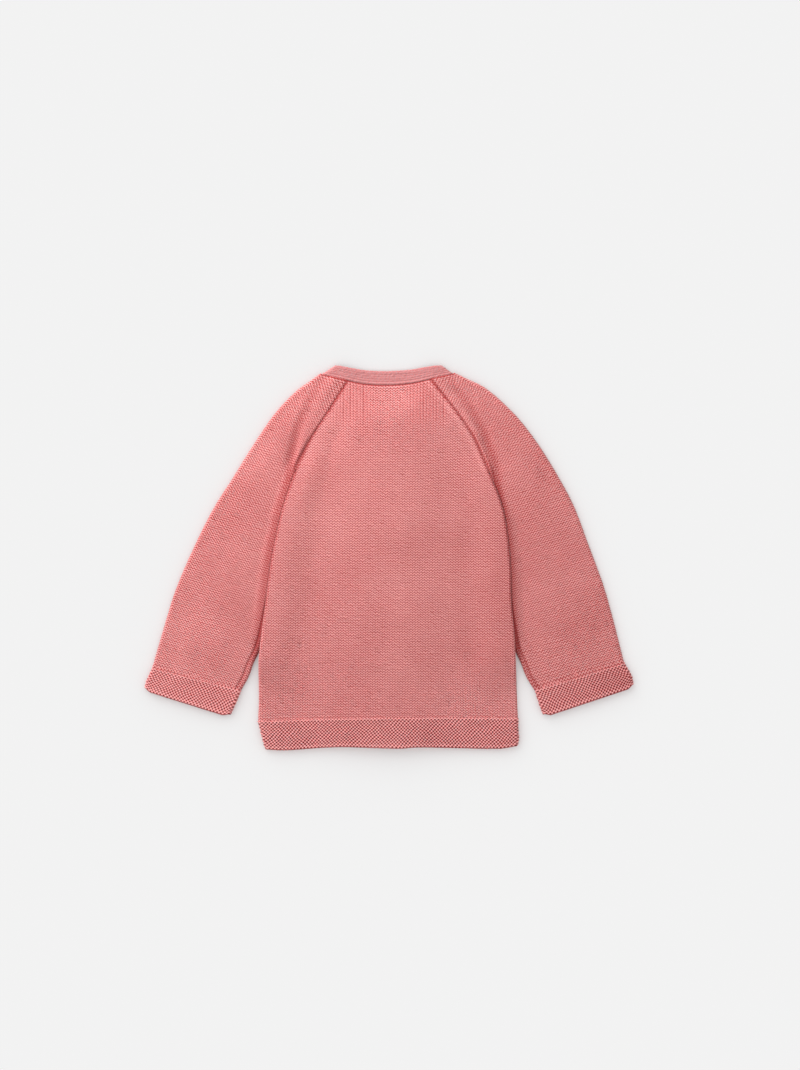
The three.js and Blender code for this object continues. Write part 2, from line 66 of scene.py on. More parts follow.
def smooth(t):
    k = np.clip(t, 0.0, 1.0)
    return k * k * (3.0 - 2.0 * k)


def mix(a, b, t):
    return a + (b - a) * t


def bump_at(value, centre, half_width):
    """A soft hump: 1 at centre, 0 at half_width from it and beyond."""
    return smooth(1.0 - np.abs(value - centre) / half_width)


def table(*columns):
    """Rows of numbers under named columns, as arrays. The column named row counts the rows."""
    def with_rows(*rows):
        named = {name: np.array([float(row[k]) for row in rows]) for k, name in enumerate(columns)}
        return named | {"row": np.arange(len(rows))}
    return with_rows


def read(rows, key, column, value):
    """A cubic through a table's rows, read off at a value of its key column."""
    keys, values = rows[key], rows[column]
    last = len(keys) - 1
    value = np.asarray(value, dtype=float)
    k = np.clip(np.searchsorted(keys, value, side="right") - 1, 0, last - 1)
    after = np.minimum(np.arange(last + 1) + 1, last)
    before = np.maximum(np.arange(last + 1) - 1, 0)
    slopes = (values[after] - values[before]) / (keys[after] - keys[before])
    span = keys[k + 1] - keys[k]
    t = np.clip((value - keys[k]) / span, 0.0, 1.0)
    bow = t * (1.0 - t) * span
    inside = mix(values[k], values[k + 1], t * t * (3.0 - 2.0 * t))
    inside = inside + bow * ((1.0 - t) * slopes[k] - t * slopes[k + 1])
    below = np.minimum(value - keys[0], 0.0) * slopes[0]
    above = np.maximum(value - keys[last], 0.0) * slopes[last]
    return inside + below + above


# %% [markdown]
# ## The garment's sizes
#
# These are the maker's measurements, in millimetres, with +X to the right of the laid back,
# +Y towards the neck and +Z up. The body is 208 mm wide at the hem and 308 mm long, about the
# size for a baby of six months.

# %% Cloth and gauge
JERSEY = 1.8
GARTER = 2.4
BAND = 1.6
AIR = 0.8
SEAM = 0.4
OVERLAP = 0.6
HEM_OVERLAP = 1.4
WALE = 2.66
COURSE = 2.0
GARTER_STITCH = 2.8

TUCK_LIFT = 4.8
TUCK_REACH = 9.0
TUCK_FADE = 29.0
PLACKET_CROWN = 4.3
PLACKET_SPREAD = 75.0
NECK_DROP = 1.8
SLEEVE_CROWN = 1.2
EDGE_SLACK = 0.15

# %% Outline tables
BODY = table("y", "left", "right")(
    (-130.8, -104.6, 103.2),
    (-114.0, -104.0, 102.4),
    (-82.0, -104.0, 101.2),
    (-60.4, -101.6, 100.0),
    (-34.0, -98.4, 97.8),
    (-2.0, -94.0, 96.8),
    (30.8, -87.2, 92.8),
    (47.6, -82.4, 88.4),
    (68.4, -75.2, 80.0),
    (83.6, -68.0, 73.4),
    (97.2, -61.2, 67.2),
    (116.4, -48.8, 54.4),
    (142.0, -33.0, 34.2),
)
FRONT_ARMHOLE = table("y", "out")(
    (-60.0, 0.0), (20.0, 0.0), (32.0, 0.0), (44.0, -5.4),
    (62.0, -2.8), (78.0, -0.6), (90.0, 0.4), (102.0, 3.0), (126.0, 6.2),
)
HEM_TOP = table("x", "y")(
    (-104.6, -130.8), (-56.0, -129.2), (0.0, -128.0), (48.0, -127.9), (103.2, -128.4),
)
HEM_EDGE = table("x", "y")(
    (-100.0, -153.2), (-83.0, -154.0), (-56.0, -152.1), (-35.0, -151.3), (9.0, -152.4),
    (22.0, -151.5), (48.0, -152.0), (88.0, -152.7), (103.0, -150.4),
)
HEM_SIDE = table("y", "left", "right")(
    (-153.5, -98.4, 101.6), (-147.6, -100.2, 103.4), (-140.0, -102.3, 103.4), (-128.0, -104.8, 103.2),
)
SLEEVE_TUCK = table("y", "tuck")(
    (-107.0, -15.2), (-96.0, -8.8), (-84.0, -4.4), (-72.0, 0.2), (-47.0, 3.2), (-14.0, 6.0),
    (16.0, 6.4), (42.0, 5.2), (58.0, 2.4), (72.0, 0.0), (100.0, 0.0), (150.0, 0.0),
)
SLEEVE_LEFT = table("fold_x", "fold_y", "back_y", "front_y", "closed")(
    (-54.5, 145.8, 141.8, 125.4, 0),
    (-72.8, 134.0, 119.8, 110.4, 0),
    (-91.2, 114.8, 99.0, 92.0, 0),
    (-108.8, 89.2, 77.6, 72.8, 0),
    (-124.8, 63.6, 48.0, 48.0, 0),
    (-140.8, 38.0, 16.0, 16.0, 1),
    (-156.8, 6.0, -18.0, -18.0, 1),
    (-170.4, -26.0, -47.6, -47.6, 1),
    (-179.6, -55.2, -76.4, -76.4, 1),
    (-189.1, -87.9, -106.4, -106.4, 1),
)
SLEEVE_RIGHT = table("fold_x", "fold_y", "back_y", "front_y", "closed")(
    (52.2, 146.3, 142.8, 125.4, 0),
    (76.0, 136.0, 125.8, 111.6, 0),
    (100.0, 114.8, 105.4, 93.0, 0),
    (118.4, 91.6, 81.2, 74.0, 0),
    (134.4, 66.0, 51.0, 51.0, 0),
    (147.6, 41.2, 22.0, 22.0, 1),
    (159.2, 10.8, -10.0, -10.0, 1),
    (171.2, -22.0, -42.0, -42.0, 1),
    (179.2, -50.0, -70.0, -70.0, 1),
    (187.8, -84.0, -106.2, -106.2, 1),
)
CUFF_LEFT = table("fold_x", "fold_y", "inner_x", "inner_y")(
    (-189.4, -88.6, -118.4, -107.2), (-193.2, -97.0, -122.6, -117.2), (-196.2, -106.2, -127.4, -127.8),
)
CUFF_RIGHT = table("fold_x", "fold_y", "inner_x", "inner_y")(
    (188.4, -84.6, 116.8, -107.0), (193.4, -93.6, 119.8, -116.8), (196.2, -103.8, 123.8, -127.8),
)
NECK_BACK = table("seam_x", "seam_y", "edge_x", "edge_y")(
    (-54.4, 146.0, -42.4, 154.0), (-39.6, 142.8, -30.4, 151.6), (-20.0, 138.5, -16.8, 149.6),
    (0.0, 137.6, 0.0, 149.2), (19.2, 139.2, 16.8, 150.2), (36.0, 142.9, 29.6, 152.4),
    (52.0, 146.4, 41.6, 154.0),
)
FRONT_SEAM_DEPTH = 48.0
FRONT_EDGE_DEPTH = 45.0
PLACKET_HALF = 8.0
BAND_RISE = 2.0
BAND_RISE_REACH = 26.0
DOME = 2.4
DOME_FLAT = 8.5
DOME_REACH = 16.0
print("Body:", BODY["right"][0] - BODY["left"][0], "mm wide at the hem")

# %% [markdown]
# ## How the layers lie on each other
#
# A laid garment isn't flat. The sides of the body lie over the inner edges of the sleeves, the
# back is lifted by the two front bands and the buttons under it, and it sinks in the neck
# opening, where no front lies under it. Each of these is one soft term of a height.

# %% Heights of the two layers
TUCK_TOP_Y = 98.0
TUCK_TOP_FADE = 52.0
TUCK_LOW_Y = -112.0
TUCK_LOW_FADE = 36.0
CROWN_TOP_Y = 104.0
CROWN_TOP_FADE = 42.0
HOLLOW_CENTRE_Y = 150.0
HOLLOW_HALF_WIDTH = 36.0
HOLLOW_HALF_LENGTH = 38.0


def body_edge(side, y):
    return read(BODY, "y", "left" if side < 0 else "right", y)


def front_edge(side, y):
    return body_edge(side, y) + side * read(FRONT_ARMHOLE, "y", "out", y)


def tuck_lift(x, y):
    """The lift of the body's sides, where they lie over the sleeves."""
    above = smooth((TUCK_TOP_Y - y) / TUCK_TOP_FADE)
    below = smooth((y - TUCK_LOW_Y) / TUCK_LOW_FADE)
    in_from_edge = np.minimum(x - body_edge(-1, y), body_edge(1, y) - x)
    return TUCK_LIFT * above * below * smooth(1.0 - (in_from_edge - TUCK_REACH) / TUCK_FADE)


def back_lift(x, y):
    """The sides' lift, the crown over the front bands and the hollow of the neck opening."""
    under_neck = 1.0 - smooth((y - CROWN_TOP_Y) / CROWN_TOP_FADE)
    crown = PLACKET_CROWN * smooth(1.0 - np.abs(x) / PLACKET_SPREAD) * under_neck
    hollow = 1.0 - (x / HOLLOW_HALF_WIDTH) ** 2 - ((y - HOLLOW_CENTRE_Y) / HOLLOW_HALF_LENGTH) ** 2
    return tuck_lift(x, y) + crown - NECK_DROP * smooth(hollow)


def front_lift(side, x, y):
    rise = BAND_RISE * smooth(1.0 - (-x - PLACKET_HALF) / BAND_RISE_REACH) if side < 0 else 0.0
    return tuck_lift(x, y) + rise


# %% [markdown]
# ## A knitted wall
#
# Every cloth piece is a closed wall: a fine outer skin that carries the stitches, a plain inner
# skin, and a rim. The columns of the grid are wales, which keep their width and end at a slanted
# seam one by one, as decreases do in real knitting. So a grid point past the piece's edge is moved
# back onto the edge, and the points that meet there become one.
#
# Each point also keeps a number named `depth` for the material, which paints shade and highlight with it: 1
# in a seam or a pocket, where painted shade makes the yarn deep red, 0 on plain cloth, and a little below 0
# where a row stands proud and gets a painted highlight.

# %% Faces over a grid of points
def edge_ids(columns, low, high):
    """For each row, the column that each column's point stands for: itself, or the last one at an edge."""
    first = np.sum(columns[None, :] <= low[:, None], axis=1) - 1
    last = np.sum(columns[None, :] < high[:, None], axis=1)
    first = np.clip(first, 0, len(columns) - 1)[:, None]
    last = np.clip(last, 0, len(columns) - 1)[:, None]
    return np.clip(np.arange(len(columns))[None, :], first, last)


def hold(columns, low, high, low_slack=EDGE_SLACK):
    """Each row's columns, held between the piece's two edges, and the column that each stands for."""
    ids = edge_ids(columns, low + low_slack, high - EDGE_SLACK)
    return ids, np.clip(columns[None, :], low[:, None], high[:, None])


def skin_faces(ids, flip):
    """Quads and triangles over a grid of point numbers, leaving out what has closed up."""
    quads = np.stack([ids[:-1, :-1], ids[:-1, 1:], ids[1:, 1:], ids[1:, :-1]], axis=-1).reshape(-1, 4)
    faces = []
    for face in quads.tolist():
        corners = [p for k, p in enumerate(face) if p != face[k - 1]]
        if len(corners) > 2 and len(set(corners)) == len(corners):
            faces.append(corners[::-1] if flip else corners)
    return faces


def border(ids):
    """The point numbers along the bottom, right, top and left edges, in order round the grid."""
    return [ids[0, :], ids[:, -1], ids[-1, ::-1], ids[::-1, 0]]


def rim_faces(fine, coarse, keep_rows, keep_columns):
    """Faces that join the fine skin's border to the coarse skin's."""
    rows, columns = fine.shape
    stops = [keep_columns, keep_rows, [columns - 1 - k for k in reversed(keep_columns)],
             [rows - 1 - k for k in reversed(keep_rows)]]
    faces = []
    for fine_side, coarse_side, marks in zip(border(fine), border(coarse), stops):
        for k in range(len(marks) - 1):
            run = fine_side[marks[k]:marks[k + 1] + 1].tolist() + [coarse_side[k + 1], coarse_side[k]]
            run = [int(p) for n, p in enumerate(run) if n == 0 or p != run[n - 1]]
            if len(run) > 2 and len(set(run)) == len(run):
                faces.append(run[::-1])
    return faces


# %% [markdown]
# The wall is made in one go from lists. The UV map isn't a flat pattern of the cloth: it counts
# stitches, one unit for each wale and one for each course, so a material can draw a stitch.

# %% Build a wall
MERGE_DISTANCE = 0.00001


def knit_wall(name, outer, inner, ids, uv, depth, step):
    """A closed mesh. outer is the fine grid of points, inner the plain one, kept every step points."""
    rows, columns = ids.shape
    fine = np.arange(rows)[:, None] * columns + ids
    keep_rows = sorted(set(range(0, rows, step)) | {rows - 1})
    keep_columns = sorted(set(range(0, columns, step)) | {columns - 1})
    coarse = fine[np.ix_(keep_rows, keep_columns)] + rows * columns
    faces = skin_faces(fine, False) + skin_faces(coarse, True)
    faces += rim_faces(fine, coarse, keep_rows, keep_columns)
    points = np.concatenate([outer.reshape(-1, 3), inner.reshape(-1, 3)]) * MM
    points[:, 2] = np.maximum(points[:, 2], 0.0)
    stitches = np.concatenate([uv.reshape(-1, 2), uv.reshape(-1, 2)])
    used = np.unique(np.concatenate([np.array(face) for face in faces]))
    number = np.zeros(len(points), dtype=int)
    number[used] = np.arange(len(used))
    mesh = bpy.data.meshes.new(name)
    mesh.from_pydata(points[used].tolist(), [], [number[face].tolist() for face in faces])
    corners = np.empty(len(mesh.loops), dtype=np.int32)
    mesh.loops.foreach_get("vertex_index", corners)
    layer = mesh.uv_layers.new(name="stitches")
    layer.data.foreach_set("uv", stitches[used][corners].astype(np.float32).ravel())
    # depth is each point's painted shade, and below 0 its painted highlight.
    shades = np.broadcast_to(depth, ids.shape).ravel()
    shade_layer = mesh.attributes.new("depth", "FLOAT", "POINT")
    shade_layer.data.foreach_set("value", np.concatenate([shades, shades])[used].astype(np.float32))
    return finish_piece(name, mesh)


def raised_wall(name, point, normal, thickness, raised, ids, uv, depth, step=8):
    """A wall of even thickness about its middle, with the stitches raised on its outer skin."""
    outer = point + normal * (thickness / 2.0 + raised)[..., None]
    inner = point - normal * (thickness / 2.0)
    return knit_wall(name, outer, inner, ids, uv, depth, step)


def finish_piece(name, mesh):
    """Put a mesh in the scene, closed up, with its faces out and smoothly shaded."""
    shape = bmesh.new()
    shape.from_mesh(mesh)
    bmesh.ops.remove_doubles(shape, verts=shape.verts, dist=MERGE_DISTANCE)
    bmesh.ops.triangulate(shape, faces=[f for f in shape.faces if len(f.verts) > 4])
    bmesh.ops.recalc_face_normals(shape, faces=shape.faces)
    shape.to_mesh(mesh)
    shape.free()
    mesh.polygons.foreach_set("use_smooth", [True] * len(mesh.polygons))
    piece = bpy.data.objects.new(name, mesh)
    bpy.context.scene.collection.objects.link(piece)
    area = sum(p.area for p in mesh.polygons) / 2.0
    triangles = sum(len(p.vertices) - 2 for p in mesh.polygons)
    print(f"{name}: {triangles} triangles, {area * 10000:.0f} square centimetres of cloth")
    return piece


# %% [markdown]
# ## Stitches
#
# Stocking stitch shows columns of small Vs. In the grid each stitch is four columns by two rows:
# the rows are bent into a zigzag, and each row stands up along its middle and sinks towards the
# next. That zigzag, more than the lines between the wales, is what the eye sees from a step away.
# Garter stitch shows bumps set like the squares of a chessboard, two rows of them to each ridge.

# %% Raise the stitches
V_DEPTH = 0.74
STITCH_UNEVENNESS = 0.4
STITCH_SHIFT = 0.16
CHANCE_ROWS = 160


def stocking_shear(wales):
    """How far a point is pushed along its wale, in courses, to bend the rows into Vs."""
    return V_DEPTH * (np.abs(2.0 * (wales - np.floor(wales)) - 1.0) - 0.5)


def stocking_height(wales, courses, depth):
    """The height of the yarn: a crest along each row, two legs to a stitch and a line between wales."""
    from_middle = np.abs(wales - np.floor(wales) - 0.5)
    leg = np.sin(2.0 * math.pi * from_middle) ** 2
    crest = 0.5 + 0.5 * np.cos(2.0 * math.pi * courses)
    between = smooth((from_middle - 0.3) / 0.2)
    return depth * (0.68 * crest + 0.32 * leg - 0.15 * between - 0.48)


def garter_wander(stitches, rows):
    """The place of a garter stitch in its own pattern, a little off its straight lines."""
    across = 0.1 * np.sin(0.9 * rows + 0.35 * stitches) + 0.07 * np.sin(0.8 * stitches - 0.6 * rows)
    along = 0.14 * np.sin(0.45 * stitches + 0.5 * rows) + 0.12 * np.sin(1.1 * stitches + 2.0)
    return stitches + across, rows + along * smooth(rows / 2.0)


def garter_height(stitches, rows, depth):
    """rows counts the rows of bumps, two to each ridge. The first row stands proud at the seam."""
    bumps = np.cos(2.0 * math.pi * stitches) * np.cos(math.pi * rows)
    rounded = 1.0 - 2.0 * (0.5 - 0.5 * bumps) ** 1.5
    chance = unevenness(2.0 * stitches + 100.5, rows + 20.0, 3)
    return depth * ((0.62 + 0.24 * chance) * rounded - 0.1) + 0.35 * smooth(1.0 - rows / 1.2)


def drift(x, y):
    """A slow wander of the stitches off their straight lines, in millimetres each way."""
    across = 0.25 * np.sin(x / 11.0 + 1.7 * np.sin(y / 29.0)) + 0.15 * np.sin(y / 9.0 + x / 17.0)
    along = 0.25 * np.sin(y / 12.0 + 1.5 * np.sin(x / 23.0) + 1.0) + 0.15 * np.sin(x / 8.0 - y / 19.0)
    return across, along


def unevenness(wales, courses, seed):
    """One chance number for every stitch, mostly between -1 and 1, the same each time the script runs."""
    rng = np.random.default_rng(seed)
    chances = np.clip(rng.normal(0.0, 0.5, (CHANCE_ROWS, CHANCE_ROWS)), -1.2, 1.2)
    row = np.round(courses).astype(int) % CHANCE_ROWS
    return chances[row, np.floor(wales).astype(int) % CHANCE_ROWS]


def rounding(distance, radius, fall):
    """How far the outer skin falls towards an edge, distance millimetres away, in a round."""
    k = np.clip(1.0 - distance / radius, 0.0, 1.0)
    return 1.25 * fall * (1.0 - np.sqrt(1.0 - 0.96 * k * k))


# %% [markdown]
# ## The bend at a side fold
#
# Where a layer ends at the side of the body or of a sleeve, it turns a quarter round towards the
# layer under it. `bend` takes the distance from the middle of the cloth and gives the place along
# the flat, the sink and the turn of the surface there.

# %% Bend a layer at its edge
def bend(distance, flat, turn, thickness):
    radius = (thickness + AIR - SEAM) / 2.0
    angle = np.clip((distance - flat) / radius, 0.0, turn)
    along = np.minimum(distance, flat) + radius * np.sin(angle)
    return along, radius * (1.0 - np.cos(angle)), angle


def flat_part(reach, turn, thickness):
    """The flat length and the whole length of a layer whose folded edge lies at reach."""
    radius = (thickness + AIR - SEAM) / 2.0
    flat = reach - (radius + thickness / 2.0) * np.sin(turn)
    return flat, flat + radius * turn


def stack(*parts):
    return np.stack(np.broadcast_arrays(*parts), axis=-1)


# %% [markdown]
# ## Soft creases
#
# A crease is a long low hump, or a trough where its height is below nothing. Each row says where
# its middle is, which way it runs, and its half length, half width and height.

# %% Creases
CREASES = table("x", "y", "angle", "length", "width", "height")(
    (-56.0, 88.0, 62.0, 30.0, 7.0, 0.5),
    (-46.0, 84.0, 74.0, 44.0, 8.0, -1.3),
    (50.0, 80.0, 120.0, 34.0, 9.0, -0.5),
    (14.0, 30.0, 78.0, 46.0, 15.0, 0.45),
    (-34.0, -6.0, 96.0, 52.0, 13.0, 0.4),
    (58.0, -20.0, 84.0, 50.0, 13.0, -0.45),
    (-66.0, -78.0, 70.0, 30.0, 10.0, 0.45),
    (34.0, -86.0, 104.0, 34.0, 14.0, 0.4),
    (78.0, -96.0, 80.0, 26.0, 9.0, 0.4),
    (-112.0, 62.0, 58.0, 26.0, 6.0, 0.7),
    (-140.0, -8.0, 62.0, 38.0, 8.0, -0.6),
    (-122.0, -46.0, 68.0, 34.0, 7.0, 0.4),
    (-160.0, -66.0, 70.0, 26.0, 7.0, 0.6),
    (114.0, 70.0, 124.0, 26.0, 6.0, 0.7),
    (134.0, 4.0, 116.0, 36.0, 8.0, -0.6),
    (120.0, -52.0, 112.0, 34.0, 7.0, 0.6),
    (158.0, -50.0, 110.0, 30.0, 7.0, 0.6),
)


def crease_height(x, y):
    total = np.zeros_like(np.asarray(x, dtype=float))
    for k in range(len(CREASES["row"])):
        turn = math.radians(CREASES["angle"][k])
        away_x, away_y = x - CREASES["x"][k], y - CREASES["y"][k]
        along = away_x * math.cos(turn) + away_y * math.sin(turn)
        across = away_y * math.cos(turn) - away_x * math.sin(turn)
        squares = (along / CREASES["length"][k]) ** 2 + (across / CREASES["width"][k]) ** 2
        total = total + CREASES["height"][k] * np.exp(-squares)
    return total


# %% [markdown]
# ## The back
#
# The back is one stocking-stitch panel with raglan sides. Its wales run straight up. Near the neck
# the raglan seams gather it a little, so the wales there stand up as fine ribs.

# %% Shape of the back
BACK_COURSES = 136
STITCH_DEPTH = 0.66
FULL_TURN = 0.5 * math.pi
BACK_TURN_Y = 84.0
BACK_TURN_FADE = 40.0
CREASE_INSET = 4.0
CREASE_FADE = 16.0


def body_level(u, t):
    """The height of level t at the share u of the way across: t is 0 at the hem seam, 1 at the neck's."""
    hem = read(HEM_TOP, "x", "y", mix(BODY["left"][0], BODY["right"][0], u)) - HEM_OVERLAP
    neck_x = mix(BODY["left"][-1], BODY["right"][-1], u)
    return mix(hem, read(NECK_BACK, "seam_x", "seam_y", neck_x) + OVERLAP, t)


def back_surface(s, t):
    """Place and normal of the back's middle at s millimetres from the centre line and level t."""
    left, right = body_edge(-1, body_level(0.0, t)), body_edge(1, body_level(1.0, t))
    side = np.where(s < 0.0, -1.0, 1.0)
    side_y = np.where(s < 0.0, body_level(0.0, t), body_level(1.0, t))
    turn = FULL_TURN * smooth((BACK_TURN_Y - side_y) / BACK_TURN_FADE)
    flat, whole = flat_part(np.where(s < 0.0, -left, right), turn, JERSEY)
    along, sink, angle = bend(np.minimum(np.abs(s), whole), flat, turn, JERSEY)
    x = side * along
    y = body_level((x - left) / (right - left), t)
    inside = smooth((whole - np.abs(s) - CREASE_INSET) / CREASE_FADE)
    inside = inside * smooth(t / 0.08) * smooth((1.0 - t) / 0.12)
    z = 1.5 * JERSEY + AIR + back_lift(x, y) - sink + inside * crease_height(x, y)
    return stack(x, y, z), stack(side * np.sin(angle), 0.0, np.cos(angle)), whole


# %% [markdown]
# The back's yarn gets painted shade: deep red at its seams, where it turns down beside a sleeve, in the
# gathers' grooves, at the neck seam and on the right side of its lower half. A painted highlight, a pale
# line, follows each raglan seam. The gathers below the neck keep their grooves but lose their rows.

# %% Gathers and painted shade of the back
GATHERS = ((-31.0, 13.5), (32.0, 14.5))
GATHERS_LOW_Y = 100.0
GATHERS_FADE = 18.0
GROOVE_DEPTH = 0.45
RAGLAN_LOW_Y = 56.0
RAGLAN_FADE = 22.0
SEAM_PAINTED_SHADE = 0.65
PAINTED_HIGHLIGHT_LEFT = 0.05
PAINTED_HIGHLIGHT_RIGHT = 0.18
PAINTED_SHADE_RIGHT = 0.11
PANEL_LENGTH = 270.0


def gathered(x, y):
    """1 where the wales stand up as fine ribs, on each side of the middle below the neck."""
    beside = sum(smooth(1.7 - np.abs(x - middle) / half_width) for middle, half_width in GATHERS)
    return smooth((y - GATHERS_LOW_Y) / GATHERS_FADE) * beside


def back_painted_shade(x, y, courses, to_edge, to_neck, gathers, groove):
    # A painted highlight along each raglan seam, a few millimetres in from the edge.
    painted_highlight = np.where(x < 0.0, PAINTED_HIGHLIGHT_LEFT, PAINTED_HIGHLIGHT_RIGHT) * smooth((y - RAGLAN_LOW_Y) / RAGLAN_FADE)
    # Painted shade: deep at the seams and where the back turns down beside a sleeve, in the gathers' grooves
    # and at the neck seam; the gathers' rows are evened out.
    beside_sleeve = smooth((y + 60.0) / 24.0)
    tone = SEAM_PAINTED_SHADE * beside_sleeve * smooth(1.2 - to_edge / 1.8)
    tone = tone - painted_highlight * bump_at(to_edge, 4.2, 2.8) + 0.32 * groove
    tone = tone + gathers * (0.2 - 0.5 * (0.5 - 0.5 * np.cos(2.0 * math.pi * courses)))
    # Painted shade on the right side of the back's lower half.
    right_side = smooth((x - 46.0) / 14.0) * smooth((36.0 - y) / 24.0) * smooth((y + 100.0) / 30.0)
    return tone + PAINTED_SHADE_RIGHT * right_side + 0.8 * smooth(1.0 - to_neck / 1.2)


# %% Make the back
def make_back():
    columns = np.arange(-160, 161) * WALE / 4.0
    t = np.linspace(0.0, 1.0, 2 * BACK_COURSES + 1)
    low = -back_surface(np.full_like(t, -1.0), t)[2]
    high = back_surface(np.full_like(t, 1.0), t)[2]
    ids, held = hold(columns, low, high)
    wales, courses = np.broadcast_arrays(columns / WALE + 0.5, (t * BACK_COURSES)[:, None])
    ends = smooth((BACK_COURSES - courses) / 1.5)
    far = smooth(np.minimum(held - low[:, None], high[:, None] - held) / 8.0)
    across, along = drift(held, courses * COURSE)
    chance = unevenness(wales, courses, 1)
    pushed = stocking_shear(wales) + (along / COURSE + STITCH_SHIFT * chance)
    point, normal, whole = back_surface(held + across * far, (courses + ends * pushed) / BACK_COURSES)
    x, y = point[..., 0], point[..., 1]
    gathers = gathered(x, y)
    rib_chance = unevenness(wales + 30.5, 0.0 * wales, 9)
    groove = gathers * np.cos(math.pi * wales) ** 2 * (0.85 + 0.3 * rib_chance)
    to_edge = whole - np.abs(held)
    to_neck = (1.0 - t[:, None]) * PANEL_LENGTH
    on_raglan = smooth((y - RAGLAN_LOW_Y) / RAGLAN_FADE)
    raised = stocking_height(wales, courses, 1.22 * STITCH_DEPTH * (1.0 + STITCH_UNEVENNESS * chance))
    raised = raised * smooth(to_edge / 0.9) * (1.0 - 0.8 * gathers) - GROOVE_DEPTH * groove * smooth(to_edge)
    raised = raised - rounding(to_edge, 1.6, 0.25) * on_raglan - rounding(to_neck, 1.2, 0.8)
    # tone carries the back's painted shade and highlight.
    tone = back_painted_shade(x, y, courses, to_edge, to_neck, gathers, groove)
    uv = stack(wales, courses)
    return raised_wall("back_stocking_stitch", point, normal, JERSEY, raised, ids, uv, tone)


back = make_back()

# %% [markdown]
# ## The fronts
#
# Each front lies under the back, right side to the floor. Only its bend at the body's side shows,
# so the columns are fine there and coarse further in, and the stitches stand up only on the bend.

# %% Shape of a front
FRONT_COURSES = 124
FRONT_BODY_SHARE = 0.8
FRONT_TOP_Y = 121.5
FRONT_SIDE_X = 92.0
FRONT_TURN_Y = 44.0
FRONT_TURN_FADE = 14.0
FRONT_FINE_FROM = 64.0
FRONT_STITCH_DEPTH = 0.4
WIDEST = 112.0


def front_level(x, q):
    """The height at x of level q: the back's own levels at first, then level rows up to the shoulder."""
    t = np.minimum(q, FRONT_BODY_SHARE)
    left, right = body_edge(-1, body_level(0.0, t)), body_edge(1, body_level(1.0, t))
    on_body = body_level((x - left) / (right - left), t)
    return mix(on_body, FRONT_TOP_Y, np.maximum(q - FRONT_BODY_SHARE, 0.0) / (1.0 - FRONT_BODY_SHARE))


def front_neck_x(side, y):
    """How far from the centre line the neckband's seam on a front lies at height y."""
    shoulder = 0 if side < 0 else -1
    sine = (NECK_BACK["seam_y"][shoulder] - y) / (FRONT_SEAM_DEPTH + SEAM)
    reach = abs(NECK_BACK["seam_x"][shoulder]) + SEAM
    return reach * np.sqrt(np.maximum(1.0 - sine * sine, 0.0)) + SEAM / 2.0


def front_surface(side, s, q):
    """Place and normal of a front's middle, s millimetres from the centre line and at level q."""
    side_y = front_level(side * FRONT_SIDE_X, q)
    turn = FULL_TURN * smooth((FRONT_TURN_Y - side_y) / FRONT_TURN_FADE)
    flat, whole = flat_part(side * front_edge(side, side_y), turn, JERSEY)
    along, sink, angle = bend(np.minimum(s, whole), flat, turn, JERSEY)
    x = side * along
    y = front_level(x, q)
    z = JERSEY / 2.0 + front_lift(side, x, y) + sink
    return stack(x, y, z), stack(side * np.sin(angle), 0.0, -np.cos(angle)), whole, angle


# %% Make the fronts
def make_front(side, name):
    coarse = np.arange(0.0, FRONT_FINE_FROM, 2.0 * WALE)
    columns = np.concatenate([coarse, np.arange(FRONT_FINE_FROM, WIDEST, WALE / 4.0)])
    q = np.linspace(0.0, 1.0, 2 * FRONT_COURSES + 1)
    low = np.full_like(q, PLACKET_HALF + SEAM)
    for _ in range(3):
        low = np.maximum(PLACKET_HALF + SEAM, front_neck_x(side, front_level(side * low, q)))
    high = front_surface(side, np.ones_like(q), q)[2]
    ids, held = hold(columns, low, high, 0.0)
    point, normal, whole, angle = front_surface(side, held, q[:, None])
    wales, courses = np.broadcast_arrays(columns / WALE + 0.5, (q * FRONT_COURSES)[:, None])
    raised = stocking_height(wales, courses, FRONT_STITCH_DEPTH)
    raised = raised * smooth(angle / 0.5) * smooth((whole - held) / 0.9)
    return raised_wall(name, point, normal, JERSEY, raised, ids, stack(wales, courses), 0.0)


front_left = make_front(-1, "front_left_stocking_stitch")
front_right = make_front(1, "front_right_stocking_stitch")

# %% [markdown]
# ## Sleeves
#
# A sleeve is a tube pressed flat. `s` runs round it: nothing at the outer fold, more over the back
# layer, and less under the front layer. Its wales run along the fold, and its courses are spaced
# along the fold too.

# %% Shape of a flattened tube
def unit(v):
    return v / np.linalg.norm(v, axis=-1, keepdims=True)


def fold_outward(rows, at, side):
    """Which way the outer fold faces, square to the fold's own line."""
    last = len(rows["row"]) - 1
    a, b = np.maximum(at - 0.1, 0.0), np.minimum(at + 0.1, last)
    step_x = read(rows, "row", "fold_x", b) - read(rows, "row", "fold_x", a)
    step_y = read(rows, "row", "fold_y", b) - read(rows, "row", "fold_y", a)
    return unit(stack(-side * step_y, side * step_x))


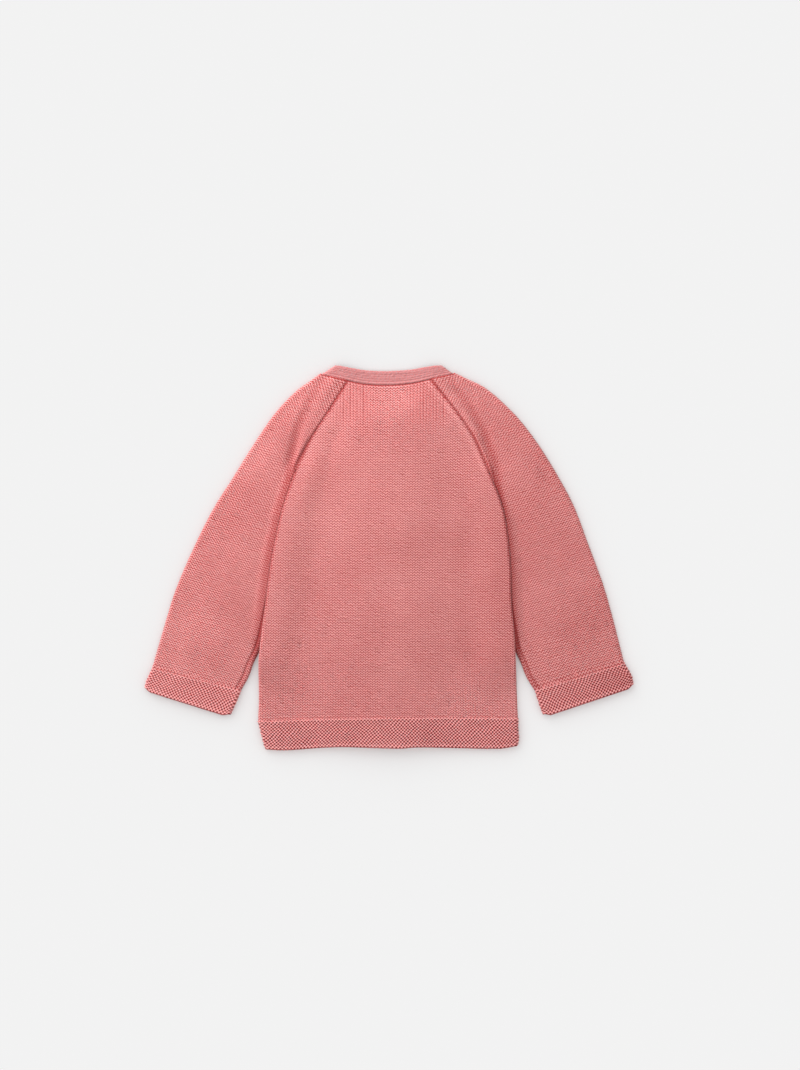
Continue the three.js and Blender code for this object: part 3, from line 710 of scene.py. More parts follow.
def tube_surface(fold, outward, back_end, front_end, closed, thickness, crown, s):
    """Place and normal of the tube's middle, its length from the fold to the end, and how far in s is."""
    radius = (thickness + AIR) / 2.0
    centre = fold - outward * (radius + thickness / 2.0)
    over = s >= 0.0
    to_end = np.where(over[..., None], back_end, front_end) - centre
    length = np.linalg.norm(to_end, axis=-1)
    across = to_end / length[..., None]
    flat, whole = flat_part(length, FULL_TURN * closed, thickness)
    quarter = radius * FULL_TURN
    along, sink, angle = bend(np.clip(np.abs(s) - quarter, 0.0, whole), flat, FULL_TURN * closed, thickness)
    swell = np.where(over, np.sin(math.pi * np.clip(along / length, 0.0, 1.0)) ** 2, 0.0)
    turned = np.clip(np.abs(s) / radius, 0.0, FULL_TURN)
    flat_place = centre + across * along[..., None] + outward * (radius * np.cos(turned))[..., None]
    facing = np.where(over, 1.0, -1.0)
    z = thickness + AIR / 2.0 + facing * (radius * np.sin(turned) - sink) + crown * swell
    level = outward * np.cos(turned)[..., None] + across * np.sin(angle)[..., None]
    up = facing * np.where(turned < FULL_TURN, np.sin(turned), np.cos(angle))
    x, y = flat_place[..., 0], flat_place[..., 1]
    z = z + swell * smooth(swell * 3.0) * crease_height(x, y)
    return stack(x, y, z), unit(stack(level[..., 0], level[..., 1], up)), quarter + whole


ARMHOLE_LOW_Y = 46.0
ARMHOLE_GAP = 1.8 * SEAM


def sleeve_surface(rows, side, s, at):
    """Place and normal of a sleeve's middle, and the whole length of the layer that s is on."""
    at, s = np.broadcast_arrays(at, s)
    back_y, front_y = read(rows, "row", "back_y", at), read(rows, "row", "front_y", at)
    closed = smooth(read(rows, "row", "closed", at))
    back_x = body_edge(side, back_y) - side * (OVERLAP + read(SLEEVE_TUCK, "y", "tuck", back_y))
    armhole = front_edge(side, np.maximum(front_y, ARMHOLE_LOW_Y)) + side * ARMHOLE_GAP
    fold = stack(read(rows, "row", "fold_x", at), read(rows, "row", "fold_y", at))
    ends = stack(back_x, back_y), stack(mix(armhole, back_x, closed), front_y)
    return tube_surface(fold, fold_outward(rows, at, side), *ends, closed, JERSEY, SLEEVE_CROWN, s)


# %% [markdown]
# Beside the raglan seam the sleeve's cloth stands up as a soft roll with a trough along its outer side. It
# is wide at the shoulder, narrows towards the underarm, and is pinched at its lower end, in a pocket on the
# left sleeve and in two small grooves on the right one. Further down, a line marks the underarm seam a few
# millimetres in from the sleeve's inner edge, and the strip beyond it lies a little lower. The trough, the
# pinch, the seam line and the strip get painted shade. Where the body's side lies over the sleeve, the
# sleeve's cloth rises to meet it, so that no dark gap shows between the two, and a band of painted shade
# runs along the body's edge.

# %% Forms beside the sleeve's seams
ROLL_LEFT = table("at", "width", "height", "trough", "pinch")(
    (0.0, 15.0, 0.5, 0.2, 0.0), (1.0, 15.0, 0.9, 0.5, 0.0), (1.9, 12.0, 1.3, 0.7, 0.0),
    (2.5, 9.0, 1.5, 0.9, 0.9), (3.0, 6.5, 1.2, 0.9, 1.3), (3.5, 4.0, 0.2, 0.4, 0.4),
    (4.2, 4.0, 0.0, 0.0, 0.0), (9.0, 4.0, 0.0, 0.0, 0.0),
)
ROLL_RIGHT = table("at", "width", "height", "trough", "pinch")(
    (0.0, 11.0, 0.7, 0.2, 0.0), (1.0, 10.0, 1.3, 0.5, 0.0), (2.0, 8.0, 1.7, 0.8, 0.3),
    (2.6, 6.5, 1.8, 1.0, 1.1), (3.2, 5.0, 1.4, 1.0, 1.1), (3.8, 3.0, 0.4, 0.9, 0.4),
    (4.6, 2.0, 0.0, 0.6, 0.0), (5.4, 2.0, 0.0, 0.1, 0.0), (9.0, 2.0, 0.0, 0.0, 0.0),
)


ROLL_FORMS = ("width", "height", "trough", "pinch")
UNDERARM_AT = 5.2
UNDERARM_INSET = 4.2


def seam_forms(side, at, to_edge):
    """How far a sleeve's back layer stands up beside its seams, and the painted shade and highlight on its
    yarn there.
    """
    rows = ROLL_LEFT if side < 0 else ROLL_RIGHT
    width, height, trough, pinch = (read(rows, "at", form, at) for form in ROLL_FORMS)
    roll = height * smooth((width - to_edge) / (0.5 * width)) * smooth((to_edge + 0.3) / 2.8)
    dip = trough * bump_at(to_edge, width + 2.5, 5.5)
    pocket = bump_at(to_edge, 1.7, 1.8)
    grooves = bump_at(to_edge, 1.3, 1.1) + 0.8 * bump_at(to_edge, 3.6, 1.1)
    pinched = pinch * (pocket if side < 0 else grooves)
    below = smooth((at - UNDERARM_AT) / 0.8)
    seam = below * bump_at(to_edge, UNDERARM_INSET, 1.3)
    strip = below * smooth((4.4 - to_edge) / 1.2) * (1.0 - 0.5 * smooth((at - 6.6) / 2.0))
    low = roll - dip - pinched - 0.9 * seam - 0.3 * strip
    # Painted shade in the trough, the pinch, the seam line and the strip; a little painted shade on the left
    # roll and a painted highlight on the right one.
    painted_shade = 0.35 * dip + 0.35 * pinched + 0.5 * seam + (0.03 if side < 0 else -0.06) * roll
    painted_shade = painted_shade + (0.28 if side < 0 else 0.45) * strip
    return low, painted_shade


def meet_neckband(rows, side, s, at, point):
    """Move the top of a sleeve's back layer up to the neckband's seam, which is a curve."""
    top = sleeve_surface(rows, side, s, np.zeros_like(s))[0]
    seam_x = np.clip(top[..., 0], NECK_BACK["seam_x"][0], NECK_BACK["seam_x"][-1])
    seam_y = read(NECK_BACK, "seam_x", "seam_y", seam_x) + OVERLAP
    rise = np.clip(seam_y - top[..., 1], 0.0, 3.0) * smooth((s + 2.0) / 2.5) * smooth(1.0 - at / 0.6)
    point[..., 1] += rise
    return point


def even_rows(rows, courses, per_course):
    """The places along a table's fold line that are evenly spaced by length."""
    fine = np.linspace(0.0, len(rows["row"]) - 1.0, 400)
    x, y = read(rows, "row", "fold_x", fine), read(rows, "row", "fold_y", fine)
    length = np.concatenate([[0.0], np.cumsum(np.hypot(np.diff(x), np.diff(y)))])
    return np.interp(np.linspace(0.0, length[-1], courses * per_course + 1), length, fine)


# %% Beside the body
BODY_RISE = 2.8
FOLD_PAINTED_SHADE = 0.42


def body_side_forms(side, over, x, y):
    """How far a sleeve rises beside the body's edge, and the painted shade on its yarn in that fold."""
    out_of_body = side * (x - body_edge(side, y))
    beside_body = over * smooth((88.0 - y) / 24.0)
    rise = smooth((out_of_body + 0.8) / 0.8) * smooth(1.0 - out_of_body / 10.0) * smooth((y + 76.0) / 30.0)
    start, width = (1.5, 5.6) if side < 0 else (1.3, 4.4)
    return BODY_RISE * beside_body * rise, beside_body * (FOLD_PAINTED_SHADE * smooth(start - out_of_body / width))


# %% Make the sleeves
SLEEVE_COURSES = 136
TOP_ROW_LENGTH = 22.0
CUFF_TUCK = 0.035
RAGLAN_END_AT = 3.4
SLEEVE_PAINTED_SHADE = 0.08
SLEEVE_SHADE_END_Y = -24.0
SLEEVE_SHADE_FADE = 40.0


def make_sleeve(rows, side, name):
    at = even_rows(rows, SLEEVE_COURSES, 2)
    under = -np.arange(24.0, 104.0, 4.0 * WALE)[::-1]
    columns = np.concatenate([under, np.arange(-24, 136) * WALE / 4.0])
    high = sleeve_surface(rows, side, np.ones_like(at), at)[2]
    low = -sleeve_surface(rows, side, -np.ones_like(at), at)[2]
    ids, held = hold(columns, low, high)
    number = np.arange(len(at)) / 2.0
    at = at + CUFF_TUCK * smooth((number - SLEEVE_COURSES + 2.0) / 2.0)
    wales, courses = np.broadcast_arrays(columns / WALE + 0.25, number[:, None])
    ends = smooth(courses / 1.5)
    far = smooth(np.minimum(held - low[:, None], high[:, None] - held) / 8.0) * smooth((held - 3.0) / 8.0)
    across, along = drift(held - 40.0 * side, courses * COURSE + 50.0 * side)
    chance = unevenness(wales + 40.0, courses, 5 + side)
    moved = courses - ends * (stocking_shear(wales) + along / COURSE * far + STITCH_SHIFT * chance)
    sheared = np.interp(moved, number, at)
    point, normal, whole = sleeve_surface(rows, side, held + across * far, sheared)
    point = meet_neckband(rows, side, held + across * far, sheared, point)
    x, y = point[..., 0], point[..., 1]
    to_edge = np.maximum(whole - np.abs(held), 0.0)
    from_top = sheared * TOP_ROW_LENGTH
    over = smooth(held / 3.0)
    on_raglan = smooth((RAGLAN_END_AT - sheared) / 1.0) * over
    formed, painted_seam_shade = seam_forms(side, sheared, to_edge)
    rise, painted_fold_shade = body_side_forms(side, over, x, y)
    raised = stocking_height(wales, courses, STITCH_DEPTH * (1.0 + STITCH_UNEVENNESS * chance))
    raised = raised * smooth(to_edge / 0.9) * smooth((held + 3.0) / 3.0)
    raised = raised + over * formed - rounding(to_edge, 1.6, 0.25) * on_raglan
    raised = raised - over * rounding(from_top, 1.3, 0.6) + rise
    # Painted shade: over the whole right sleeve and the upper left one, at the seams, at the top beside the
    # neckband and along the body's edge.
    sleeve_shade = SLEEVE_PAINTED_SHADE * (1.0 - smooth((SLEEVE_SHADE_END_Y - y) / SLEEVE_SHADE_FADE) if side < 0 else 1.0)
    tone = over * painted_seam_shade + SEAM_PAINTED_SHADE * on_raglan * smooth(1.2 - to_edge / 1.8)
    tone = tone + sleeve_shade + 0.75 * over * smooth(1.0 - from_top / 1.6) + painted_fold_shade
    round_it = [round(float((high - low)[k])) for k in (0, SLEEVE_COURSES, -1)]
    print(name, "round at the top, middle and cuff:", round_it)
    return raised_wall(name, point, normal, JERSEY, raised, ids, stack(wales, -courses), tone)


sleeve_left = make_sleeve(SLEEVE_LEFT, -1, "sleeve_left_stocking_stitch")
sleeve_right = make_sleeve(SLEEVE_RIGHT, 1, "sleeve_right_stocking_stitch")

# %% [markdown]
# ## Garter-stitch cuffs and hem
#
# The bands are thicker than the body and keep their bumps over the side folds. The bumps fade
# where a band lies on the floor, which stays flat.

# %% Garter bands
CUFF_ROWS = 16
HEM_ROWS = 18
ROWS_PER_BUMP = 4
GARTER_DEPTH = 0.85
LEFT_CUFF_DEPTH = 0.84 * GARTER_DEPTH
HEM_DEPTH = 1.3
CUFF_LENGTH = 20.5
HEM_LENGTH = 23.0
BAND_CORNER = 1.5


def garter_painted_shade(bumps, loose):
    """Painted shade at the loose edge, and a painted highlight on the first and last rows of bumps, which
    stand proud.
    """
    first_row, last_row = bump_at(bumps, 0.3, 1.0), bump_at(loose, 2.2, 1.2)
    return 0.5 * smooth(1.2 - loose / 0.9) - 0.45 * first_row - 0.35 * last_row


# %% [markdown]
# The two loose corners of a cuff are rounded: towards each of them the rows end a little earlier.

# %% Make the cuffs
CUFF_START = -0.09
CUFF_CORNER = 0.2
CORNER_REACH = 6.0


def cuff_surface(rows, side, s, at):
    at, s = np.broadcast_arrays(at, s)
    fold = stack(read(rows, "row", "fold_x", at), read(rows, "row", "fold_y", at))
    end = stack(read(rows, "row", "inner_x", at), read(rows, "row", "inner_y", at))
    closed = np.ones_like(at)
    return tube_surface(fold, fold_outward(rows, at, side), end, end, closed, GARTER, SLEEVE_CROWN / 2.0, s)


def make_cuff(rows, side, name):
    at = np.linspace(CUFF_START, 2.0, CUFF_ROWS * ROWS_PER_BUMP + 1)
    under = -np.arange(9.8, 100.0, GARTER_STITCH)[::-1]
    columns = np.concatenate([under, np.arange(-12, 136) * GARTER_STITCH / 4.0])
    high = cuff_surface(rows, side, np.ones_like(at), at)[2]
    low = -cuff_surface(rows, side, -np.ones_like(at), at)[2]
    ids, held = hold(columns, low, high)
    to_inner = np.where(held < 0.0, held - low[:, None], high[:, None] - held)
    corner = smooth(1.0 - np.abs(held) / CORNER_REACH) + smooth(1.0 - to_inner / CORNER_REACH)
    share = smooth((at[:, None] - 1.2) / 0.8)
    point, normal, _ = cuff_surface(rows, side, held, at[:, None] - CUFF_CORNER * corner * share)
    rows_down = np.linspace(0.0, CUFF_ROWS, len(at))[:, None]
    stitches, bumps = garter_wander(columns / GARTER_STITCH, rows_down)
    raised = garter_height(stitches, bumps, LEFT_CUFF_DEPTH if side < 0 else GARTER_DEPTH)
    raised = raised * smooth((held + 3.5) / 3.0)
    loose = (1.0 - at[:, None] / 2.0) * CUFF_LENGTH
    raised = raised - rounding(loose, BAND_CORNER, 1.6) * smooth((held + 3.0) / 3.0)
    # Painted shade over the whole cuff, more on the right cuff towards its fold.
    tone = garter_painted_shade(bumps, loose) + (0.04 if side < 0 else 0.06 + 0.12 * smooth(1.0 - held / 45.0))
    return raised_wall(name, point, normal, GARTER, raised, ids, stack(stitches, bumps), tone)


cuff_left = make_cuff(CUFF_LEFT, -1, "cuff_left_garter")
cuff_right = make_cuff(CUFF_RIGHT, 1, "cuff_right_garter")


# %% Make the hem over the back
HEM_SIDE_X = 101.0


def hem_level(x, t):
    return mix(read(HEM_TOP, "x", "y", x), read(HEM_EDGE, "x", "y", x), t)


def hem_reach(side, t):
    return side * read(HEM_SIDE, "y", "left" if side < 0 else "right", hem_level(side * HEM_SIDE_X, t))


def hem_back_surface(s, t):
    """Place and normal of the hem's middle, s millimetres from the centre line and t of the way down."""
    side = np.where(s < 0.0, -1.0, 1.0)
    reach = np.where(s < 0.0, hem_reach(-1, t), hem_reach(1, t))
    flat, whole = flat_part(reach, FULL_TURN, GARTER)
    along, sink, angle = bend(np.minimum(np.abs(s), whole), flat, FULL_TURN, GARTER)
    x = side * along
    y = hem_level(x, t)
    z = 1.5 * GARTER + AIR + back_lift(x, y) - sink
    return stack(x, y, z), stack(side * np.sin(angle), 0.0, np.cos(angle)), whole


def make_hem_back():
    t = np.linspace(0.0, 1.0, HEM_ROWS * ROWS_PER_BUMP + 1)
    columns = np.arange(-160, 161) * GARTER_STITCH / 4.0
    low = -hem_back_surface(np.full_like(t, -1.0), t)[2]
    high = hem_back_surface(np.full_like(t, 1.0), t)[2]
    ids, held = hold(columns, low, high)
    point, normal, _ = hem_back_surface(held, t[:, None])
    stitches, bumps = garter_wander(columns / GARTER_STITCH, (t * HEM_ROWS)[:, None])
    loose = (1.0 - t[:, None]) * HEM_LENGTH
    raised = garter_height(stitches, bumps, HEM_DEPTH) - rounding(loose, BAND_CORNER, 1.3)
    uv, tone = stack(stitches, bumps), garter_painted_shade(bumps, loose)
    return raised_wall("hem_back_garter", point, normal, GARTER, raised, ids, uv, tone)


hem_back = make_hem_back()


# %% Make the hem over the fronts
def make_hem_front(side, name):
    t = np.linspace(0.0, 1.0, HEM_ROWS * 2 + 1)
    fine = np.arange(86.1, WIDEST, GARTER_STITCH / 4.0)
    columns = np.concatenate([np.arange(5.6, 86.0, GARTER_STITCH), fine])
    flat, whole = flat_part(hem_reach(side, t), FULL_TURN, GARTER)
    ids, held = hold(columns, np.full_like(t, PLACKET_HALF + SEAM), whole, 0.0)
    along, sink, angle = bend(held, flat[:, None], FULL_TURN, GARTER)
    x = side * along
    y = hem_level(x, t[:, None])
    point = stack(x, y, GARTER / 2.0 + front_lift(side, x, y) + sink)
    normal = stack(side * np.sin(angle), 0.0, -np.cos(angle))
    stitches, bumps = np.broadcast_arrays(columns / GARTER_STITCH, (t * HEM_ROWS)[:, None])
    raised = garter_height(stitches, bumps, GARTER_DEPTH) * smooth(angle / 0.6)
    return raised_wall(name, point, normal, GARTER, raised, ids, stack(stitches, bumps), 0.0)


hem_front_left = make_hem_front(-1, "hem_front_left_garter")
hem_front_right = make_hem_front(1, "hem_front_right_garter")

# %% [markdown]
# ## The neckband
#
# The neckband is a narrow band of fine smooth knitting. It runs from one front edge up over the
# shoulder fold, along the back and down to the other front edge. Each station along it is a line
# from its seam edge, v = 0, to its loose edge, v = 1.

# %% Stations of the neckband
NECK_ACROSS = np.linspace(0.0, 1.0, 25)
NECK_WIDTH = 11.5
NECK_SLANT = 0.95
FINE_WALE = 1.9
FINE_COURSE = 2.2
CHAIN_PLACE = 1.5


def neck_back_station(q):
    x = mix(read(NECK_BACK, "row", "seam_x", q), read(NECK_BACK, "row", "edge_x", q), NECK_ACROSS)
    y = mix(read(NECK_BACK, "row", "seam_y", q), read(NECK_BACK, "row", "edge_y", q), NECK_ACROSS)
    return stack(x, y, 1.5 * JERSEY + AIR + back_lift(x, y)), stack(0.0 * x, 0.0 * x, 1.0)


def shoulder(side):
    """The neckband's line over one shoulder fold: the ends of its seam edge and of its loose edge."""
    k = 0 if side < 0 else -1
    return [np.array([NECK_BACK[f"{end}_x"][k], NECK_BACK[f"{end}_y"][k]]) for end in ("seam", "edge")]


def neck_fold_station(side, degrees):
    seam, edge = shoulder(side)
    line = edge - seam
    outward = unit(np.array([side * abs(line[1]), abs(line[0])]))
    radius = (JERSEY + AIR) / 2.0
    turned = math.radians(degrees)
    inset = radius + JERSEY / 2.0 - radius * math.cos(turned)
    slide = inset * NECK_SLANT * max(math.sin(turned), 0.0)
    place = seam + line * NECK_ACROSS[:, None] - outward * inset + unit(line) * slide
    z = JERSEY + AIR / 2.0 + radius * math.sin(turned)
    out = np.append(outward * math.cos(turned), math.sin(turned))
    return stack(place[:, 0], place[:, 1], z), np.broadcast_to(out, (len(NECK_ACROSS), 3))


def neck_front_station(side, degrees, last):
    seam, edge = shoulder(side)
    turned = math.radians(degrees)
    seam_x = abs(seam[0]) * math.cos(turned)
    edge_x = seam_x if last else max(abs(edge[0]) * math.cos(turned), PLACKET_HALF + SEAM)
    x = side * mix(seam_x, edge_x, NECK_ACROSS)
    seam_y = seam[1] - FRONT_SEAM_DEPTH * math.sin(turned)
    edge_y = edge[1] - FRONT_EDGE_DEPTH * math.sin(turned)
    y = mix(seam_y, edge_y, NECK_ACROSS)
    return stack(x, y, JERSEY / 2.0 + front_lift(side, x, y)), stack(0.0 * x, 0.0 * x, -1.0)


def between(first, last, count):
    """Stations on the straight way from one station to another, without the two themselves."""
    return [(mix(first[0], last[0], k / count), unit(mix(first[1], last[1], k / count)))
            for k in range(1, count)]


def neck_half(side):
    """Stations from the back of one shoulder, over its fold and down to the front edge."""
    reach = abs(shoulder(side)[0][0])
    last_angle = math.degrees(math.acos((PLACKET_HALF + SEAM) / reach))
    fold = [neck_fold_station(side, degrees) for degrees in range(90, -91, -15)]
    angles = list(np.arange(25.0, last_angle - 2.0, 3.0))
    front = [neck_front_station(side, degrees, False) for degrees in angles]
    front.append(neck_front_station(side, last_angle, True))
    return fold + between(fold[-1], front[0], 8) + front


# %% Make the neckband
def make_neckband():
    across_back = [neck_back_station(q) for q in np.linspace(0.3, 5.7, 151)]
    left, right = neck_half(-1), neck_half(1)
    to_left, to_right = between(left[0], across_back[0], 5), between(across_back[-1], right[0], 5)
    stations = left[::-1] + to_left + across_back + to_right + right
    point = np.array([place for place, _ in stations])
    normal = np.array([out for _, out in stations])
    middle = point[:, len(NECK_ACROSS) // 2]
    steps = np.linalg.norm(np.diff(middle, axis=0), axis=-1)
    length = np.concatenate([[0.0], np.cumsum(steps)])[:, None]
    from_seam = NECK_ACROSS[None, :] * NECK_WIDTH
    shows = smooth((normal[..., 2] + 0.4) / 0.8)
    lines = 0.03 * np.cos(2.0 * math.pi * from_seam / FINE_WALE)
    lines = lines + 0.05 * np.sin(0.11 * length + 1.3 * from_seam)
    lines = lines + 0.2 * unevenness(length / 1.4, from_seam / 1.1, 11)
    chain = bump_at(from_seam, CHAIN_PLACE, 1.1)
    raised = lines + 0.3 * chain * (1.0 + 0.4 * np.cos(2.0 * math.pi * length / FINE_COURSE))
    raised = raised * smooth((NECK_WIDTH - from_seam) / 1.5) - rounding(from_seam, 0.9, 1.1)
    raised = raised - rounding(NECK_WIDTH - from_seam, 1.6, 1.2)
    # Painted shade: a dark line at the seam and a fainter one 3 mm in; a painted highlight on the chain row.
    tone = smooth(1.0 - from_seam / 0.7) - 0.25 * chain + 0.25 * bump_at(from_seam, 3.2, 0.8)
    ids = np.broadcast_to(np.arange(len(NECK_ACROSS)), shows.shape)
    uv = stack(length / FINE_COURSE, from_seam / FINE_WALE)
    return raised_wall("neckband_fine_knit", point, normal, JERSEY, raised * shows, ids, uv, tone, 4)


neckband = make_neckband()

# %% [markdown]
# ## Front bands
#
# The two bands of the front opening overlap under the back. The one with the buttonholes is the
# lower one, and the buttons lie under it, so both bands are lifted over each button.

# %% Make the front bands
FIRST_BUTTON_Y = 100.0
BUTTON_SPACING = 54.0
BUTTON_PLACES = [FIRST_BUTTON_Y - BUTTON_SPACING * k for k in range(5)]
BAND_LOW_Y = -151.6
BAND_TOP_Y = 109.0
BAND_ROWS = 187
BAND_COLUMNS = 19


def dome(x, y):
    lifts = [DOME * smooth((DOME_REACH - np.hypot(x, y - place)) / (DOME_REACH - DOME_FLAT))
             for place in BUTTON_PLACES]
    return np.maximum.reduce(lifts)


def make_front_band(rise, name):
    y = np.linspace(BAND_LOW_Y, BAND_TOP_Y, BAND_ROWS)[:, None]
    x = np.linspace(-PLACKET_HALF, PLACKET_HALF, BAND_COLUMNS)[None, :]
    middle = stack(x, y, rise + BAND / 2.0 + dome(x, y))
    down = np.array([0.0, 0.0, BAND / 2.0])
    ids = np.broadcast_to(np.arange(BAND_COLUMNS), (BAND_ROWS, BAND_COLUMNS))
    uv = stack(y / FINE_COURSE + 0.0 * x, x / FINE_WALE + 0.0 * y)
    return knit_wall(name, middle - down, middle + down, ids, uv, 0.0, 2)


buttonhole_band = make_front_band(0.0, "buttonhole_band_fine_knit")
button_band = make_front_band(BAND_RISE, "button_band_fine_knit")

# %% [markdown]
# ## Buttons
#
# A button starts as a cylinder. Its face is inset and sunk to leave a raised rim, its sharp edges
# are rounded by a bevel, and four small cylinders are cut out of it for the thread.

# %% Make one button
BUTTON_RADIUS = 5.5
BUTTON_THICKNESS = 2.0
RIM_WIDTH = 1.1
DISH_SLOPE = 0.35
DISH_DEPTH = 0.5
EDGE_ROUND = 0.28
HOLE_RADIUS = 0.7
HOLE_PLACE = 1.5
HOLE_COUNT = 4


def select_only(piece):
    bpy.ops.object.select_all(action="DESELECT")
    piece.select_set(True)
    bpy.context.view_layer.objects.active = piece


def apply_modifier(piece, modifier):
    select_only(piece)
    bpy.ops.object.modifier_apply(modifier=modifier.name)


def add_cylinder(vertices, radius, depth, x, y, z):
    """A cylinder from sizes and a place in millimetres."""
    place = (x * MM, y * MM, z * MM)
    size = {"radius": radius * MM, "depth": depth * MM}
    bpy.ops.mesh.primitive_cylinder_add(vertices=vertices, location=place, **size)
    return bpy.context.object


def make_button(name, place_y):
    middle_z = BUTTON_THICKNESS / 2.0
    piece = add_cylinder(64, BUTTON_RADIUS, BUTTON_THICKNESS, 0.0, place_y, middle_z)
    piece.name = name
    bpy.ops.object.mode_set(mode="EDIT")
    shape = bmesh.from_edit_mesh(piece.data)
    for face in shape.faces:
        face.select_set(face.normal.z < -0.9)
    bmesh.update_edit_mesh(piece.data)
    bpy.ops.mesh.inset(thickness=RIM_WIDTH * MM, depth=0.0)
    bpy.ops.mesh.inset(thickness=DISH_SLOPE * MM, depth=-DISH_DEPTH * MM)
    bpy.ops.object.mode_set(mode="OBJECT")
    soften = piece.modifiers.new("rounded edges", "BEVEL")
    soften.width = EDGE_ROUND * MM
    soften.segments = 4
    soften.limit_method = "ANGLE"
    apply_modifier(piece, soften)
    for k in range(HOLE_COUNT):
        turned = 2.0 * math.pi * k / HOLE_COUNT
        x, y = HOLE_PLACE * math.cos(turned), place_y + HOLE_PLACE * math.sin(turned)
        drill = add_cylinder(24, HOLE_RADIUS, 3.0 * BUTTON_THICKNESS, x, y, middle_z)
        cut = piece.modifiers.new("thread hole", "BOOLEAN")
        cut.operation = "DIFFERENCE"
        cut.object = drill
        apply_modifier(piece, cut)
        bpy.data.objects.remove(drill)
    select_only(piece)
    bpy.ops.object.transform_apply(location=True, rotation=True, scale=True)
    bpy.ops.object.shade_smooth_by_angle(angle=math.radians(35.0))
    return piece


buttons = [make_button(f"button_{k + 1}_dished", place) for k, place in enumerate(BUTTON_PLACES)]
print("Faces in one button:", len(buttons[0].data.polygons))

# %% [markdown]
# ## Yarn
#
# The look is built from small shader groups. Each group only works out a value, and the material
# puts them together. `Wiring` is a short hand for adding a node and joining its sockets.

# %% A helper for node trees
class Wiring:
    def __init__(self, tree):
        self.tree = tree

    def node(self, kind, settings=None, **inputs):
        made = self.tree.nodes.new(kind)
        for name, value in (settings or {}).items():
            setattr(made, name, value)
        for name, value in inputs.items():
            self.feed(made.inputs[name.replace("_", " ")], value)
        return made

    def feed(self, socket, value):
        if isinstance(value, bpy.types.NodeSocket):
            self.tree.links.new(value, socket)
        else:
            socket.default_value = value

    def math(self, operation, first, second=0.0, third=0.0):
        made = self.tree.nodes.new("ShaderNodeMath")
        made.operation = operation
        for socket, value in zip(made.inputs, (first, second, third)):
            self.feed(socket, value)
        return made.outputs[0]

    def noise(self, vector, scale, detail=2.0, roughness=0.5):
        sizes = {"Scale": scale, "Detail": detail, "Roughness": roughness}
        return self.node("ShaderNodeTexNoise", None, Vector=vector, **sizes).outputs["Fac"]

    def blend(self, factor, first, second):
        made = self.node("ShaderNodeMix", {"data_type": "RGBA"})
        for number, value in ((0, factor), (6, first), (7, second)):
            self.feed(made.inputs[number], value)
        return made.outputs[2]


def new_group(name, inputs, outputs):
    """An empty shader group with named sockets, and the nodes that stand for its two ends."""
    group = bpy.data.node_groups.new(name, "ShaderNodeTree")
    for title, kind in inputs:
        group.interface.new_socket(name=title, in_out="INPUT", socket_type=kind)
    for title, kind in outputs:
        group.interface.new_socket(name=title, in_out="OUTPUT", socket_type=kind)
    wiring = Wiring(group)
    return group, wiring, wiring.node("NodeGroupInput"), wiring.node("NodeGroupOutput")


# %% [markdown]
# The two stitch groups take a place counted in stitches and say how high the yarn stands there,
# from 0 in the gaps to 1 on top of a leg or a bump. They follow the same waves as the mesh.

# %% Stitch groups
def wave(w, value, turns):
    """A cosine wave from 0 to 1 that is highest at whole numbers of turns."""
    angle = w.math("MULTIPLY", value, 2.0 * math.pi * turns)
    return w.math("MULTIPLY_ADD", w.math("COSINE", angle), 0.5, 0.5)


def make_stocking_group():
    group, w, start, end = new_group(
        "Stocking stitch", [("Stitches", "NodeSocketVector")], [("Height", "NodeSocketFloat")])
    place = w.node("ShaderNodeSeparateXYZ", None, Vector=start.outputs["Stitches"])
    leg = w.math("SUBTRACT", 1.0, wave(w, place.outputs["X"], 2.0))
    crest = wave(w, place.outputs["Y"], 1.0)
    height = w.math("MULTIPLY_ADD", crest, 0.74, w.math("MULTIPLY", leg, 0.26))
    w.feed(end.inputs["Height"], height)
    return group


def make_garter_group():
    group, w, start, end = new_group(
        "Garter stitch", [("Stitches", "NodeSocketVector")], [("Height", "NodeSocketFloat")])
    place = w.node("ShaderNodeSeparateXYZ", None, Vector=start.outputs["Stitches"])
    across = w.math("COSINE", w.math("MULTIPLY", place.outputs["X"], 2.0 * math.pi))
    along = w.math("COSINE", w.math("MULTIPLY", place.outputs["Y"], math.pi))
    sunk = w.math("MULTIPLY_ADD", w.math("MULTIPLY", across, along), -0.5, 0.5)
    height = w.math("SUBTRACT", 1.0, w.math("POWER", sunk, 1.5))
    w.feed(end.inputs["Height"], height)
    return group


def make_yarn_group():
    group, w, start, end = new_group(
        "Yarn", [("Place", "NodeSocketVector")],
        [("Tone", "NodeSocketFloat"), ("Fibres", "NodeSocketFloat")])
    place = start.outputs["Place"]
    wide = w.noise(place, 22.0, 2.0)
    stitch = w.noise(place, 420.0, 1.0)
    fibre = w.noise(place, 2600.0, 3.0, 0.65)
    tone = w.math("ADD", w.math("MULTIPLY", wide, 0.45), w.math("MULTIPLY", stitch, 0.3))
    w.feed(end.inputs["Tone"], w.math("MULTIPLY_ADD", fibre, 0.25, tone))
    w.feed(end.inputs["Fibres"], fibre)
    return group


stocking_group, garter_group, yarn_group = make_stocking_group(), make_garter_group(), make_yarn_group()


# %% [markdown]
# A knit material paints shade between the stitches: it is darker and redder deep between them, where light
# bounces from yarn to yarn, and paler on top. The walls' own `depth` paints more shade in a seam and a
# painted highlight on a proud row. Light goes a millimetre or so into the cotton, the red furthest, and a
# little sheen stands for its fuzz.

